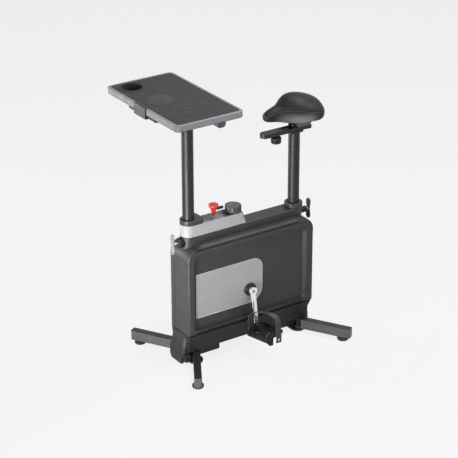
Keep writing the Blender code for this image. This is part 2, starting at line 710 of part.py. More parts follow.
def base_apron():
    """The cover between housing and base, with the nose that carries the transport wheels."""
    name = "base_apron"
    apron = loft(name, apron_sections(), "dark_plastic")
    inside = apron_sections(COVER_WALL, APRON_TOP - COVER_WALL)
    inside[0] = [(x, y, 0) for x, y, _ in inside[0]]
    hollow = loft(name + "_hollow", inside)
    nose = loft(name + "_nose", [nose_section(NOSE_BOTTOM, NOSE_FRONT, 0.046),
                                 nose_section(0.030, NOSE_FRONT + 0.003, 0.053),
                                 nose_section(0.062, NOSE_FRONT, 0.056),
                                 nose_section(0.108, NOSE_FRONT - 0.0105, 0.054),
                                 nose_section(APRON_TOP - 0.0004, HOUSING_FRONT + 0.001, 0.048)])
    cut(apron, hollow)
    fuse(apron, nose)
    wheel_x = DESK_X - WHEEL_AHEAD
    for tag, side in sides():
        low, high = span(side, 0.0355, APRON_HALF_WIDTH)
        reach = WHEEL_RADIUS + 0.0025
        cut(apron, rod(f"{tag}_wheel_arch", (wheel_x, low, WHEEL_AXIS_Z), (wheel_x, high, WHEEL_AXIS_Z),
                       reach, sides=24),
            block(f"{tag}_wheel_gap", (wheel_x - reach * 0.8, low, -0.01), (DESK_X, high, WHEEL_AXIS_Z)))
        low, high = span(side, 0.030, 0.036 + WHEEL_WIDTH + GAP)
        fuse(apron, rod(f"{tag}_wheel_axle", (wheel_x, low, WHEEL_AXIS_Z), (wheel_x, high, WHEEL_AXIS_Z),
                        WHEEL_AXLE_RADIUS, sides=16))
    for post_x in (DESK_X, SEAT_X):
        cut(apron, rod(f"apron_hole_{post_x:.3f}", (post_x, 0, APRON_TOP - CUT_PAST),
                       (post_x, 0, APRON_TOP + CUT_PAST), SLEEVE_RADIUS + SLIDE_CLEARANCE, sides=24))
    return cut(apron, strut_hole("apron_strut_hole", APRON_TOP - CUT_PAST, APRON_TOP + CUT_PAST))


def transport_wheels():
    for name, side in sides():
        empty = joint_empty(f"{name}_transport_wheel_axis", (DESK_X - WHEEL_AHEAD, 0, WHEEL_AXIS_Z))
        middle = side * (0.036 + WHEEL_WIDTH / 2)
        half, r, bore = WHEEL_WIDTH / 2, WHEEL_RADIUS, WHEEL_AXLE_RADIUS + GAP
        profile = [(bore, half), (r - 0.002, half), (r, half * 0.75), (r, -half * 0.75), (r - 0.002, -half),
                   (bore, -half)]
        carry(empty, turned(f"{name}_transport_wheel", profile, (DESK_X - WHEEL_AHEAD, middle, WHEEL_AXIS_Z),
                            "Y", "rubber", 16, ring=True))


# Inner frame

STRUT_HALF_X = 0.014
STRUT_HALF_Y = 0.010
BRACKET_Y = (-0.026, -0.020)


def strut_hole(name, low, high):
    x, y = STRUT_HALF_X + SLIDE_CLEARANCE, STRUT_HALF_Y + SLIDE_CLEARANCE
    return block(name, (CRANK_X - x, -y, low), (CRANK_X + x, y, high))


def main_frame():
    """Two post sleeves on a lower rail, with the crank shell on a strut and the flywheel's fixed axle."""
    frame = rod("main_frame", (DESK_X, 0, SLEEVE_BOTTOM), (DESK_X, 0, SLEEVE_TOP), SLEEVE_RADIUS,
                "frame_paint", sides=24)
    rail_z = (SLEEVE_BOTTOM + 0.006, SLEEVE_BOTTOM + 0.034)
    inset = SLEEVE_RADIUS - SLEEVE_WALL * 0.6
    solids = [
        rod("seat_sleeve", (SEAT_X, 0, SLEEVE_BOTTOM), (SEAT_X, 0, SLEEVE_TOP), SLEEVE_RADIUS, sides=24),
        block("lower_rail", (DESK_X + inset, -0.015, rail_z[0]), (SEAT_X - inset, 0.015, rail_z[1])),
        block("crank_strut", (CRANK_X - STRUT_HALF_X, -STRUT_HALF_Y, rail_z[1] - 0.002),
              (CRANK_X + STRUT_HALF_X, STRUT_HALF_Y, CRANK_Z - 0.012)),
        rod("crank_shell", (CRANK_X, -0.034, CRANK_Z), (CRANK_X, 0.034, CRANK_Z), 0.021, sides=20),
        plate("axle_bracket", tangent_hull((FLYWHEEL_X, FLYWHEEL_Z, 0.018), (CRANK_X, CRANK_Z, 0.0205), 5),
              *BRACKET_Y, plane="XZ"),
        block("axle_tie", (DESK_X + SLEEVE_RADIUS * 0.7, BRACKET_Y[0], FLYWHEEL_Z - 0.010),
              (FLYWHEEL_X, BRACKET_Y[1], FLYWHEEL_Z + 0.010)),
        rod("flywheel_axle", (FLYWHEEL_X, BRACKET_Y[0] + 0.001, FLYWHEEL_Z),
            (FLYWHEEL_X, PULLEY_INNER_Y + PULLEY_WIDTH + 0.003, FLYWHEEL_Z), AXLE_RADIUS, sides=16),
    ]
    fuse(frame, *solids)
    bores = [rod(f"sleeve_bore_{x:.3f}", (x, 0, SLEEVE_BOTTOM - CUT_PAST), (x, 0, SLEEVE_TOP + CUT_PAST),
                 SLEEVE_BORE, sides=24)
             for x in (DESK_X, SEAT_X)]
    bores.append(rod("spindle_bore", (CRANK_X, -0.05, CRANK_Z), (CRANK_X, 0.05, CRANK_Z),
                     SPINDLE_RADIUS + GAP, sides=16))
    bores.append(lock_hole("front_sleeve_lock_hole", DESK_X, -1, FRONT_LOCK_Z))
    bores.append(lock_hole("rear_sleeve_lock_hole", SEAT_X, 1, REAR_LOCK_Z))
    return cut(frame, *bores)


def lock_hole(name, post_x, fore, z):
    start, end = post_x + fore * POST_RADIUS * 0.6, post_x + fore * (SPINE_HALF_WIDTH + 0.024)
    return rod(name, (start, 0, z), (end, 0, z), LOCK_PIN_RADIUS + SLIDE_CLEARANCE, sides=12)


def post_bushes():
    for name, x in (("desk_post_bush", DESK_X), ("seat_post_bush", SEAT_X)):
        outer, inner = SLEEVE_BORE - GAP, POST_RADIUS + GAP
        top = LIP_TOP
        profile = [(inner, top), (outer, top), (outer, top - BUSH_LENGTH), (inner, top - BUSH_LENGTH)]
        turned(name, profile, (x, 0, 0), look="nylon", steps=24, ring=True)


# Housing

def housing_outline(inset=0.0, top=HOUSING_TOP, steps=6):
    """The housing's side outline in X and Z, drawn in by an inset."""
    x0, x1 = DESK_X - HOUSING_FRONT + inset, SEAT_X + HOUSING_REAR - inset
    z0, z1 = HOUSING_BOTTOM + inset, top - inset
    least = 0.002
    return rounded([(x0, z0, max(FRONT_BOTTOM_CORNER - inset, least)),
                    (x1, z0, max(REAR_BOTTOM_CORNER - inset, least)),
                    (x1, z1, max(REAR_TOP_CORNER - inset, least)),
                    (x0, z1, max(FRONT_TOP_CORNER - inset, least))], steps=steps)


def recess_outline(rear_shift=0.0, grow=0.0):
    """The side recess: a large window with one slanted end towards the saddle."""
    x0 = DESK_X - HOUSING_FRONT + RECESS_FRONT - grow
    x1 = SEAT_X + HOUSING_REAR - RECESS_REAR + rear_shift + grow
    z0, z1 = HOUSING_BOTTOM + RECESS_BELOW - grow, HOUSING_TOP - RECESS_ABOVE + grow
    return rounded([(x0, z0, 0.010), (x1, z0, 0.012), (x1, z1, 0.035), (x0, z1, 0.030)], steps=4)


def edge_levels():
    """The rounded side edge of the housing: how far out from the centre, and how far drawn in."""
    r = HOUSING_EDGE_RADIUS
    turns = [math.radians(30 * k) for k in range(4)]
    return [(HOUSING_HALF_WIDTH - r + r * math.sin(turn), r - r * math.cos(turn)) for turn in turns]


def undercut(name, side):
    """The hollow under the recess, which slopes in towards the housing's lower edge."""
    x0, x1, low = DESK_X - UNDERCUT_FRONT, SEAT_X + UNDERCUT_REAR, HOUSING_BOTTOM - 0.02
    rise = UNDERCUT_TOP / UNDERCUT_DEPTH
    past = 0.004
    levels = [(HOUSING_HALF_WIDTH - UNDERCUT_DEPTH, HOUSING_BOTTOM, 0.003),
              (HOUSING_HALF_WIDTH + past, HOUSING_BOTTOM + UNDERCUT_TOP + past * rise, 0.014)]
    sections = []
    for y, top, r in levels:
        outline = rounded([(x0, low, 0), (x1, low, 0), (x1, top, r), (x0, top, r)], steps=4)
        sections.append([(x, side * y, z) for x, z in outline])
    return loft(name, sections)


def side_shells():
    for name, side in sides():
        levels = [(BAND_HALF_WIDTH + GAP, 0.0)] + edge_levels()
        shell = loft(f"{name}_side_shell", [[(x, side * y, z) for x, z in housing_outline(inset)]
                                            for y, inset in levels], "dark_plastic")
        floor_y, face_y = side * RECESS_Y, side * HOUSING_HALF_WIDTH
        clear_y = side * (HOUSING_HALF_WIDTH + 0.004)
        recess = loft(f"{name}_recess", [[(x, floor_y, z) for x, z in recess_outline()],
                                         [(x, face_y, z) for x, z in recess_outline(RECESS_REAR_SLOPE)],
                                         [(x, clear_y, z) for x, z in recess_outline(RECESS_REAR_SLOPE)]])
        deep = span(side, 0, RECESS_Y - SHELL_WALL)
        around = span(side, BAND_HALF_WIDTH / 2, HOUSING_HALF_WIDTH - SHELL_WALL)
        inner = plate(f"{name}_shell_inside", housing_outline(SHELL_WALL + 0.001, steps=3), *deep, "XZ")
        rim = plate(f"{name}_shell_rim", housing_outline(HOUSING_EDGE_RADIUS * 0.7, steps=3), *around, "XZ",
                    holes=[recess_outline(RECESS_REAR_SLOPE, SHELL_WALL)])
        solid_below = HOUSING_BOTTOM + RECESS_BELOW + REAR_BOTTOM_CORNER
        cut(rim, block(f"{name}_lower_band", (DESK_X - 0.2, -0.2, 0), (SEAT_X + 0.2, 0.2, solid_below)))
        bore = rod(f"{name}_shell_bore", (CRANK_X, floor_y - side * CUT_PAST, CRANK_Z), (CRANK_X, clear_y, CRANK_Z),
                   SPINDLE_HOLE, sides=20)
        cut(shell, recess, inner, rim, bore, undercut(f"{name}_undercut", side))


def trim_outline(inset=0.0):
    x0, x1 = DESK_X - HOUSING_FRONT + TRIM_FRONT + inset, CRANK_X + TRIM_RADIUS - inset
    z0 = CRANK_Z - TRIM_RADIUS + inset
    z1 = CRANK_Z - TRIM_RADIUS + TRIM_HEIGHT - inset
    return rounded([(x0, z0, 0.003), (x1, z0, TRIM_RADIUS - inset), (x1, z1, TRIM_TOP_RADIUS - inset),
                    (x0, z1, 0.003)], steps=7)


def trim_panels():
    for name, side in sides():
        low, high = span(side, RECESS_Y + GAP, TRIM_FACE_Y)
        panel = plate(f"{name}_trim_panel", trim_outline(), low, high, "XZ", "silver_panel")
        cut(panel, rod(f"{name}_trim_bore", (CRANK_X, low - CUT_PAST, CRANK_Z),
                       (CRANK_X, high + CUT_PAST, CRANK_Z), SPINDLE_HOLE, sides=20))
        seal(name, side)


def seal(name, side):
    """The dust ring round the spindle, just behind the crank arm."""
    foot, lip = TRIM_FACE_Y + GAP, ARM_INNER_Y - 0.0012
    bore = SPINDLE_RADIUS + 2 * GAP
    profile = [(bore, lip), (SEAL_RADIUS * 0.86, lip), (SEAL_RADIUS, foot + 0.006), (SEAL_RADIUS, foot),
               (bore, foot)]
    if side < 0:
        profile = [(r, -y) for r, y in reversed(profile)]
    turned(f"{name}_crank_seal", profile, (CRANK_X, 0, CRANK_Z), "Y", "black_plastic", 20, ring=True)


def centre_band():
    """The hoop between the two shells, pierced by the sleeves, the strut and the brake rod."""
    band = plate("centre_band", housing_outline(BAND_INSET), -BAND_HALF_WIDTH, BAND_HALF_WIDTH, "XZ",
                 "dark_plastic", holes=[housing_outline(BAND_INSET + BAND_WALL)])
    for tag, x in (("desk", DESK_X), ("seat", SEAT_X)):
        cut(band, rod(f"band_{tag}_hole", (x, 0, HOUSING_BOTTOM - CUT_PAST), (x, 0, HOUSING_TOP + CUT_PAST),
                      SLEEVE_RADIUS + SLIDE_CLEARANCE, sides=24))
    cut(band, strut_hole("band_strut_hole", HOUSING_BOTTOM - CUT_PAST, HOUSING_BOTTOM + CUT_PAST))
    return cut(band, rod("band_brake_hole", (FLYWHEEL_X, 0, HOUSING_TOP - CUT_PAST),
                         (FLYWHEEL_X, 0, HOUSING_TOP + CUT_PAST), BRAKE_ROD_RADIUS + BRAKE_HOLE_ROOM, sides=16))


# Top housing and console

def spine_outline(inset=0.0):
    half = SPINE_HALF_WIDTH - inset
    x0, x1 = DESK_X - half, SEAT_X + half
    r = half
    return rounded([(x0, -half, r), (x1, -half, r), (x1, half, r), (x0, half, r)], steps=5)


def lip_outline(edge_inset, steps=6):
    """The top housing's side outline: level along the top, easing down onto the housing's two corners."""
    rise = LIP_TOP - HOUSING_TOP
    points = []
    for x, r, turns in ((SEAT_X + HOUSING_REAR, REAR_TOP_CORNER, (0, 90)),
                        (DESK_X - HOUSING_FRONT, FRONT_TOP_CORNER, (90, 180))):
        centre_x, centre_z = x - math.copysign(r, x), HOUSING_TOP - r
        for k in range(steps + 1):
            turn = math.radians(turns[0] + (turns[1] - turns[0]) * k / steps)
            up = math.sin(turn) ** 1.5
            reach = r + LIP_END_OFFSET + (rise - LIP_END_OFFSET) * up - edge_inset * (1 - up)
            points.append((centre_x + reach * math.cos(turn), centre_z + reach * math.sin(turn)))
    return points


def top_housing():
    """A lip over a shadow groove, easing down onto the housing's corners, with a raised spine on it."""
    name = "top_housing"
    levels = edge_levels()
    outward = [(-y, inset) for y, inset in reversed(levels)] + levels
    cap = loft(name, [[(x, y, z) for x, z in lip_outline(inset)] for y, inset in outward], "dark_plastic")
    room = GAP + 0.0001
    beyond = [(HOUSING_HALF_WIDTH + 0.002, HOUSING_EDGE_RADIUS)]
    around = [(-y, inset) for y, inset in beyond] + outward + beyond
    under = loft("under_cap", [[(x, y, z) for x, z in housing_outline(inset - room)] for y, inset in around])
    groove_top = LIP_TOP - LIP_THICKNESS
    x0, x1, low = DESK_X - GROOVE_FRONT, SEAT_X - GROOVE_REAR, HOUSING_TOP - HOUSING_EDGE_RADIUS
    groove = rounded([(x0, low, 0), (x1, low, 0), (x1, groove_top, 0.004), (x0, groove_top, 0.004)], steps=3)
    grooves = [plate(f"{side}_groove", groove, *span(sign, CAP_HALF_WIDTH, HOUSING_HALF_WIDTH + CUT_PAST),
                     "XZ") for side, sign in sides()]
    spine = plate("spine", spine_outline(), HOUSING_TOP - REAR_TOP_CORNER / 2, SPINE_TOP)
    soften(spine, 0.002, 1, pick=lambda co: co.z > SPINE_TOP - 1e-5)
    cut(spine, plate("under_spine", housing_outline(-0.0024), -0.1, 0.1, "XZ"))
    cut(cap, under)
    fuse(cap, spine)
    cut(cap, *grooves)
    cut(cap, plate("spine_hollow", spine_outline(COVER_WALL), HOUSING_TOP - 0.1, SPINE_TOP - COVER_WALL))
    for tag, x in (("desk", DESK_X), ("seat", SEAT_X)):
        cut(cap, rod(f"spine_{tag}_hole", (x, 0, LIP_TOP), (x, 0, SPINE_TOP + CUT_PAST),
                     POST_HOLE + SLIDE_CLEARANCE))
    cut(cap, rod("spine_brake_hole", (FLYWHEEL_X, 0, LIP_TOP), (FLYWHEEL_X, 0, SPINE_TOP + CUT_PAST),
                 BRAKE_ROD_RADIUS + BRAKE_HOLE_ROOM, sides=16))
    cut(cap, lock_hole("front_spine_lock_hole", DESK_X, -1, FRONT_LOCK_Z))
    return cut(cap, lock_hole("rear_spine_lock_hole", SEAT_X, 1, REAR_LOCK_Z))


def console_outline(front, rear, inset=0.0, front_radius=None, rear_radius=0.013):
    half = SPINE_HALF_WIDTH - inset
    r = half if front_radius is None else front_radius
    return rounded([(front, -half, r), (rear, -half, rear_radius), (rear, half, rear_radius),
                    (front, half, r)], steps=5)


def console_cover():
    """The silver console: a tray with a low parapet, closed over the desk post."""
    name = "console_cover"
    bottom, w = SPINE_TOP + GAP, COVER_WALL
    front, rear, step = DESK_X - SPINE_HALF_WIDTH, DESK_X + CONSOLE_LENGTH, DESK_X + COLLAR_REAR
    rear_top = rear - CONSOLE_SLOPE
    cover = loft(name, [[(x, y, bottom) for x, y in console_outline(front, rear)],
                        [(x, y, CONSOLE_TOP) for x, y in console_outline(front, rear_top)]], "silver_plastic")
    tray = plate("console_tray", console_outline(step + w, rear_top - w, w, 0.004, 0.010), CONSOLE_FLOOR,
                 CONSOLE_TOP + CUT_PAST)
    under_tray = plate("console_under_tray", console_outline(step - w, rear_top - w, w, 0.004, 0.010),
                       bottom - CUT_PAST, CONSOLE_FLOOR - w)
    under_collar = plate("console_under_collar", console_outline(front + w, step, w, None, 0.004),
                         bottom - CUT_PAST, CONSOLE_TOP - w)
    cut(cover, tray, under_tray, under_collar)
    cut(cover, rod("console_post_hole", (DESK_X, 0, CONSOLE_TOP - CUT_PAST), (DESK_X, 0, CONSOLE_TOP + CUT_PAST),
                   POST_HOLE + SLIDE_CLEARANCE))
    floor_holes = [("brake", FLYWHEEL_X, BRAKE_ROD_RADIUS + SLIDE_CLEARANCE, 16),
                   ("dial", DESK_X + DIAL_BEHIND, DIAL_SHAFT_RADIUS + SLIDE_CLEARANCE, 12),
                   ("front_screw", DESK_X + CONSOLE_SCREWS[0], CONSOLE_SCREW_RADIUS, 8),
                   ("rear_screw", DESK_X + CONSOLE_SCREWS[1], CONSOLE_SCREW_RADIUS, 8)]
    for tag, x, radius, count in floor_holes:
        cut(cover, rod(f"console_{tag}_hole", (x, 0, CONSOLE_FLOOR - CUT_PAST), (x, 0, CONSOLE_FLOOR + CUT_PAST),
                       radius, sides=count))
    return cover


def collars():
    half = SPINE_HALF_WIDTH + 0.001
    front, rear = DESK_X - half, DESK_X + COLLAR_REAR
    outline = rounded([(front, -half, half), (rear, -half, 0.015), (rear, half, 0.015),
                       (front, half, half)], steps=6)
    collar = plate("desk_post_collar", outline, CONSOLE_TOP + GAP, COLLAR_TOP, look="dark_plastic")
    soften(collar, 0.002, 1, pick=lambda co: co.z > COLLAR_TOP - 1e-5)
    cut(collar, rod("desk_collar_hole", (DESK_X, 0, CONSOLE_TOP - CUT_PAST), (DESK_X, 0, COLLAR_TOP + CUT_PAST),
                    POST_HOLE))
    r, bore, top, low = SEAT_COLLAR_RADIUS, POST_HOLE, SEAT_COLLAR_TOP, SPINE_TOP + GAP
    profile = [(bore, top - 0.001), (bore + 0.003, top), (r - 0.004, top), (r - 0.001, top - 0.002),
               (r, top - 0.005), (r, low), (bore, low)]
    turned("seat_post_collar", profile, (SEAT_X, 0, 0), look="dark_plastic", steps=28, ring=True)


# Lock handles

def lock(end, post_x, fore, z, boss_radius, boss_length, handle_out):
    """A boss on the spine's round end, a pin that slides in it and a handle that turns on the pin."""
    boss_end, handle_x = SPINE_HALF_WIDTH + boss_length, SPINE_HALF_WIDTH + handle_out
    boss = rod(f"{end}_lock_boss", (post_x + fore * POST_RADIUS, 0, z), (post_x + fore * boss_end, 0, z),
               boss_radius, "black_plastic", sides=24)
    seat_cut = rod(f"{end}_boss_seat", (post_x, 0, z - 0.1), (post_x, 0, z + 0.1), SPINE_HALF_WIDTH + GAP,
                   sides=48)
    cut(boss, seat_cut, rod(f"{end}_boss_bore", (post_x, 0, z), (post_x + fore * 0.1, 0, z),
                              LOCK_PIN_RADIUS + GAP, sides=20))
    back = handle_x - HANDLE_THICKNESS / 2
    face = handle_x + HANDLE_THICKNESS / 2
    tip, r = POST_RADIUS + GAP, LOCK_PIN_RADIUS
    journal = r * 0.7
    profile = [(0, face + 0.002), (r, face + 0.002), (r, face + GAP), (journal, face + GAP),
               (journal, back - GAP), (r * 1.5, back - GAP), (r * 1.5, back - 0.003), (r, back - 0.003),
               (r, tip + 0.002), (r * 0.7, tip), (0, tip)]
    if fore < 0:
        profile = [(radius, -x) for radius, x in reversed(profile)]
    pin = turned(f"{end}_lock_pin", profile, (post_x, 0, z), "X", "bright_steel", 14)
    slide = joint_empty(f"{end}_lock_slide", (post_x, 0, z))
    carry(slide, pin)
    half, long = HANDLE_WIDTH / 2, HANDLE_LENGTH / 2
    waist = half * 0.72
    outline = rounded([(-half, -long, half), (half, -long, half), (half, -long * 0.45, 0),
                       (waist, -long * 0.25, 0), (waist, long * 0.25, 0), (half, long * 0.45, 0),
                       (half, long, half), (-half, long, half), (-half, long * 0.45, 0),
                       (-waist, long * 0.25, 0), (-waist, -long * 0.25, 0),
                       (-half, -long * 0.45, 0)], steps=4)
    outline = [(y, h + z) for y, h in outline]
    low, high = sorted((post_x + fore * back, post_x + fore * face))
    handle = plate(f"{end}_lock_handle", outline, low, high, "YZ", "grey_paint")
    soften(handle, 0.0015, 1, angle=60)
    cut(handle, rod(f"{end}_handle_bore", (post_x, 0, z), (post_x + fore * 0.2, 0, z), journal + GAP,
                    sides=14))
    carry(joint_empty(f"{end}_handle_turn", (post_x, 0, z), slide), handle)


# Controls

def dial_knob():
    """A fluted dial over the tray's parapet, on a neck and a shaft that passes through the tray."""
    x = DESK_X + DIAL_BEHIND
    count = DIAL_FLUTES * 2
    depth = DIAL_FLUTE_DEPTH
    outline = []
    for i in range(count):
        angle = 2 * math.pi * i / count
        radius = DIAL_RADIUS - depth + depth * math.cos(DIAL_FLUTES * angle)
        outline.append((x + radius * math.cos(angle), radius * math.sin(angle)))
    knob = plate("dial_knob", outline, CONSOLE_TOP + 0.001, DIAL_TOP, look="black_plastic")
    soften(knob, 0.0015, 1, pick=lambda co: co.z > DIAL_TOP - 1e-5)
    dish_profile = [(0, DIAL_TOP + CUT_PAST), (DIAL_RADIUS * 0.8, DIAL_TOP + CUT_PAST),
                    (DIAL_RADIUS * 0.76, DIAL_TOP - 0.001), (0, DIAL_TOP - 0.001)]
    dish = turned("dial_dish", dish_profile, (x, 0, 0), steps=20)
    neck = rod("dial_neck", (x, 0, CONSOLE_FLOOR + GAP), (x, 0, CONSOLE_TOP + 0.003), DIAL_NECK_RADIUS,
               sides=24)
    shaft = rod("dial_shaft", (x, 0, CONSOLE_FLOOR - 0.012), (x, 0, CONSOLE_FLOOR + 0.004),
                DIAL_SHAFT_RADIUS, sides=12)
    cut(knob, dish)
    fuse(knob, neck, shaft)
    carry(joint_empty("dial_axis", (x, 0, CONSOLE_FLOOR)), knob)


def brake():
    """The brake rod with its pad over the flywheel's rim, and the bell-shaped knob on top."""
    x = FLYWHEEL_X
    rim = FLYWHEEL_Z + FLYWHEEL_RADIUS
    pad_low, pad_high = rim + BRAKE_TRAVEL, rim + BRAKE_TRAVEL + BRAKE_PAD_THICKNESS
    half_x, half_y = BRAKE_PAD_HALF_X, BRAKE_PAD_HALF_Y
    slide = joint_empty("brake_slide", (x, 0, rim))
    pad = block("brake_pad", (x - half_x, -half_y, pad_low - 0.004), (x + half_x, half_y, pad_high), "rubber")
    cut(pad, rod("pad_arc", (x, -half_y * 2, FLYWHEEL_Z), (x, half_y * 2, FLYWHEEL_Z),
                 FLYWHEEL_RADIUS + BRAKE_TRAVEL + 2 * GAP, sides=96))
    socket, r = BRAKE_KNOB_BOTTOM + 0.010, BRAKE_ROD_RADIUS
    spigot = r * SPIGOT_SHARE
    profile = [(0, socket), (spigot, socket), (spigot, BRAKE_KNOB_BOTTOM + 0.002),
               (r, BRAKE_KNOB_BOTTOM - GAP), (r, pad_high + 0.003), (r * 1.8, pad_high + 0.003),
               (r * 1.8, pad_high + GAP), (0, pad_high + GAP)]
    rod_piece = turned("brake_rod", profile, (x, 0, 0), look="bright_steel", steps=14)
    carry(slide, pad, rod_piece)
    cap, top, low = BRAKE_CAP_RADIUS, BRAKE_KNOB_TOP, BRAKE_KNOB_BOTTOM
    bell = [(0, top), (cap * 0.62, top), (cap * 0.9, top - 0.0025), (cap, top - 0.008),
            (cap * 0.96, top - 0.012), (cap * 0.62, top - 0.023), (cap * 0.36, low + 0.014), (r * 1.24, low),
            (0, low)]
    knob = turned("brake_knob", bell, (x, 0, 0), look="red_plastic", steps=24)
    inner, wide, tenon = cap * 0.3, cap * 0.8, BRAKE_TENON_RADIUS
    socket_room = rod("brake_stub_socket", (x + inner - GAP, 0, BRAKE_STUB_Z), (x + cap * 2, 0, BRAKE_STUB_Z),
                      tenon + GAP, sides=12)
    cut(knob, rod("brake_socket", (x, 0, low - CUT_PAST), (x, 0, socket + GAP), spigot + GAP, sides=14),
        rod("brake_countersink", (x, 0, low - CUT_PAST), (x, 0, low + 0.0024), r + GAP, sides=14),
        socket_room)
    reach, thick = BRAKE_STUB_REACH, BRAKE_STUB_RADIUS
    along = [(0, reach), (thick - 0.002, reach), (thick, reach - 0.002), (thick, wide), (tenon, wide - 0.003),
             (tenon, inner), (0, inner)]
    stub = turned("brake_stub", along, (x, 0, BRAKE_STUB_Z), "X", "black_plastic", 16)
    carry(joint_empty("brake_knob_turn", (x, 0, top), slide), knob, stub)


# Crank, belt and flywheel

def crank():
    """The spindle with its two opposite arms, each with a pedal axle, and the drive pulley."""
    axis = joint_empty("crank_axis", (CRANK_X, 0, CRANK_Z))
    reach = ARM_INNER_Y + ARM_THICKNESS - GAP
    carry(axis, rod("crank_spindle", (CRANK_X, -reach, CRANK_Z), (CRANK_X, reach, CRANK_Z), SPINDLE_RADIUS,
                    "bright_steel", sides=24))
    for name, side in sides():
        down = PEDAL_OFFSET if side < 0 else -PEDAL_OFFSET
        end_x, end_z = CRANK_X + down.x, CRANK_Z + down.z
        outline = tangent_hull((CRANK_X, CRANK_Z, ARM_ROOT_RADIUS), (end_x, end_z, ARM_END_RADIUS), 10)
        low, high = span(side, ARM_INNER_Y, ARM_OUTER_Y)
        arm = plate(f"{name}_crank_arm", outline, low, high, "XZ", "crank_alloy")
        along = down.normalized()
        for vertex in arm.data.vertices:
            out = max(0, (vertex.co - Vector((CRANK_X, 0, CRANK_Z))).dot(along)) / CRANK_LENGTH
            vertex.co.y += side * ARM_FLARE * out
        soften(arm, 0.0018, 1, angle=60)
        face = ARM_OUTER_Y + ARM_FLARE
        axle = rod(f"{name}_pedal_axle", (end_x, side * (face - 0.006), end_z),
                   (end_x, side * (PEDAL_OUTER_Y - 2 * PEDAL_END_WALL), end_z), PEDAL_AXLE_RADIUS, sides=20)
        hub_y = [side * (ARM_INNER_Y + GAP), side * (ARM_OUTER_Y + ARM_HUB_PROUD)]
        hub = rod(f"{name}_arm_hub", (CRANK_X, hub_y[0], CRANK_Z), (CRANK_X, hub_y[1], CRANK_Z),
                  ARM_HUB_RADIUS, sides=28)
        fuse(arm, axle, hub)
        cut(arm, rod(f"{name}_arm_bore", (CRANK_X, side * 0.05, CRANK_Z), (CRANK_X, side * 0.12, CRANK_Z),
                     SPINDLE_RADIUS + GAP, sides=24))
        carry(axis, arm)
        pedal(name, side, (end_x, 0, end_z), axis)
    carry(axis, drive_pulley())


def drive_pulley():
    """A toothless belt pulley with five lightening windows between its spokes."""
    low, high = PULLEY_INNER_Y, PULLEY_INNER_Y + PULLEY_WIDTH
    pulley = plate("drive_pulley", circle(CRANK_X, CRANK_Z, PULLEY_RADIUS, 24), low, high, "XZ",
                   "black_plastic")
    windows = []
    spokes, inner, outer, spoke_half = 5, 0.024, 0.070, 0.007
    for i in range(spokes):
        first = 2 * math.pi * i / spokes
        last = first + 2 * math.pi / spokes
        points = []
        for radius, angles in ((outer, (0, 0.5, 1)), (inner, (1, 0))):
            trim = spoke_half / radius
            for share in angles:
                angle = first + trim + (last - first - 2 * trim) * share
                points.append((CRANK_X + radius * math.cos(angle), CRANK_Z + radius * math.sin(angle)))
        windows.append(plate(f"pulley_window_{i}", points, low - CUT_PAST, high + CUT_PAST, "XZ"))
    windows.append(rod("pulley_bore", (CRANK_X, low - CUT_PAST, CRANK_Z), (CRANK_X, high + CUT_PAST, CRANK_Z),
                       SPINDLE_RADIUS + GAP, sides=24))
    return cut(pulley, *windows)


def flywheel():
    """A heavy rim on a thin web, with a long hub whose end is the small belt pulley."""
    half, r, hub = FLYWHEEL_HALF_WIDTH, FLYWHEEL_RADIUS, FLYWHEEL_HUB_RADIUS
    bore, web, neck = AXLE_RADIUS + GAP, FLYWHEEL_WEB / 2, FLYWHEEL_NECK_RADIUS
    end = PULLEY_INNER_Y + PULLEY_WIDTH
    profile = [(bore, end), (hub, end), (hub, PULLEY_INNER_Y - 0.001), (neck, PULLEY_INNER_Y - 0.004),
               (neck, web), (r * 0.74, web), (r * 0.78, half), (r, half), (r, -half), (r * 0.78, -half),
               (r * 0.74, -web), (neck, -web), (neck, -half), (bore, -half)]
    wheel = turned("flywheel", profile, (FLYWHEEL_X, 0, FLYWHEEL_Z), "Y", "cast_iron", 18, ring=True)
    carry(joint_empty("flywheel_axis", (FLYWHEEL_X, 0, FLYWHEEL_Z)), wheel)


def drive_belt():
    """The closed belt round the drive pulley and the flywheel's small pulley."""
    loops = []
    for extra in (BELT_ROOM + BELT_THICKNESS, BELT_ROOM):
        loops.append(tangent_hull((CRANK_X, CRANK_Z, PULLEY_RADIUS + extra),
                                  (FLYWHEEL_X, FLYWHEEL_Z, FLYWHEEL_HUB_RADIUS + extra), 14))
    low, high = PULLEY_INNER_Y + 0.0005, PULLEY_INNER_Y + PULLEY_WIDTH - 0.0005
    plate("drive_belt", loops[0], low, high, "XZ", "rubber", holes=[loops[1]])


# Pedals

def pedal_ring(side, out, trim):
    """The pedal's cross-section at a distance out from its inner side, with its two ends drawn in."""
    share = out / PEDAL_WIDTH
    points = []
    for inner, outer in zip(PEDAL_INNER_PROFILE, PEDAL_OUTER_PROFILE):
        x = inner[0] + (outer[0] - inner[0]) * share
        z = inner[1] + (outer[1] - inner[1]) * share
        first = PEDAL_INNER_PROFILE[0][0] + (PEDAL_OUTER_PROFILE[0][0] - PEDAL_INNER_PROFILE[0][0]) * share
        last = PEDAL_INNER_PROFILE[5][0] + (PEDAL_OUTER_PROFILE[5][0] - PEDAL_INNER_PROFILE[5][0]) * share
        squeeze = 1 - 2 * trim / (last - first)
        middle = (first + last) / 2
        points.append((middle + (x - middle) * squeeze, side * (PEDAL_INNER_Y + out), z))
    return points


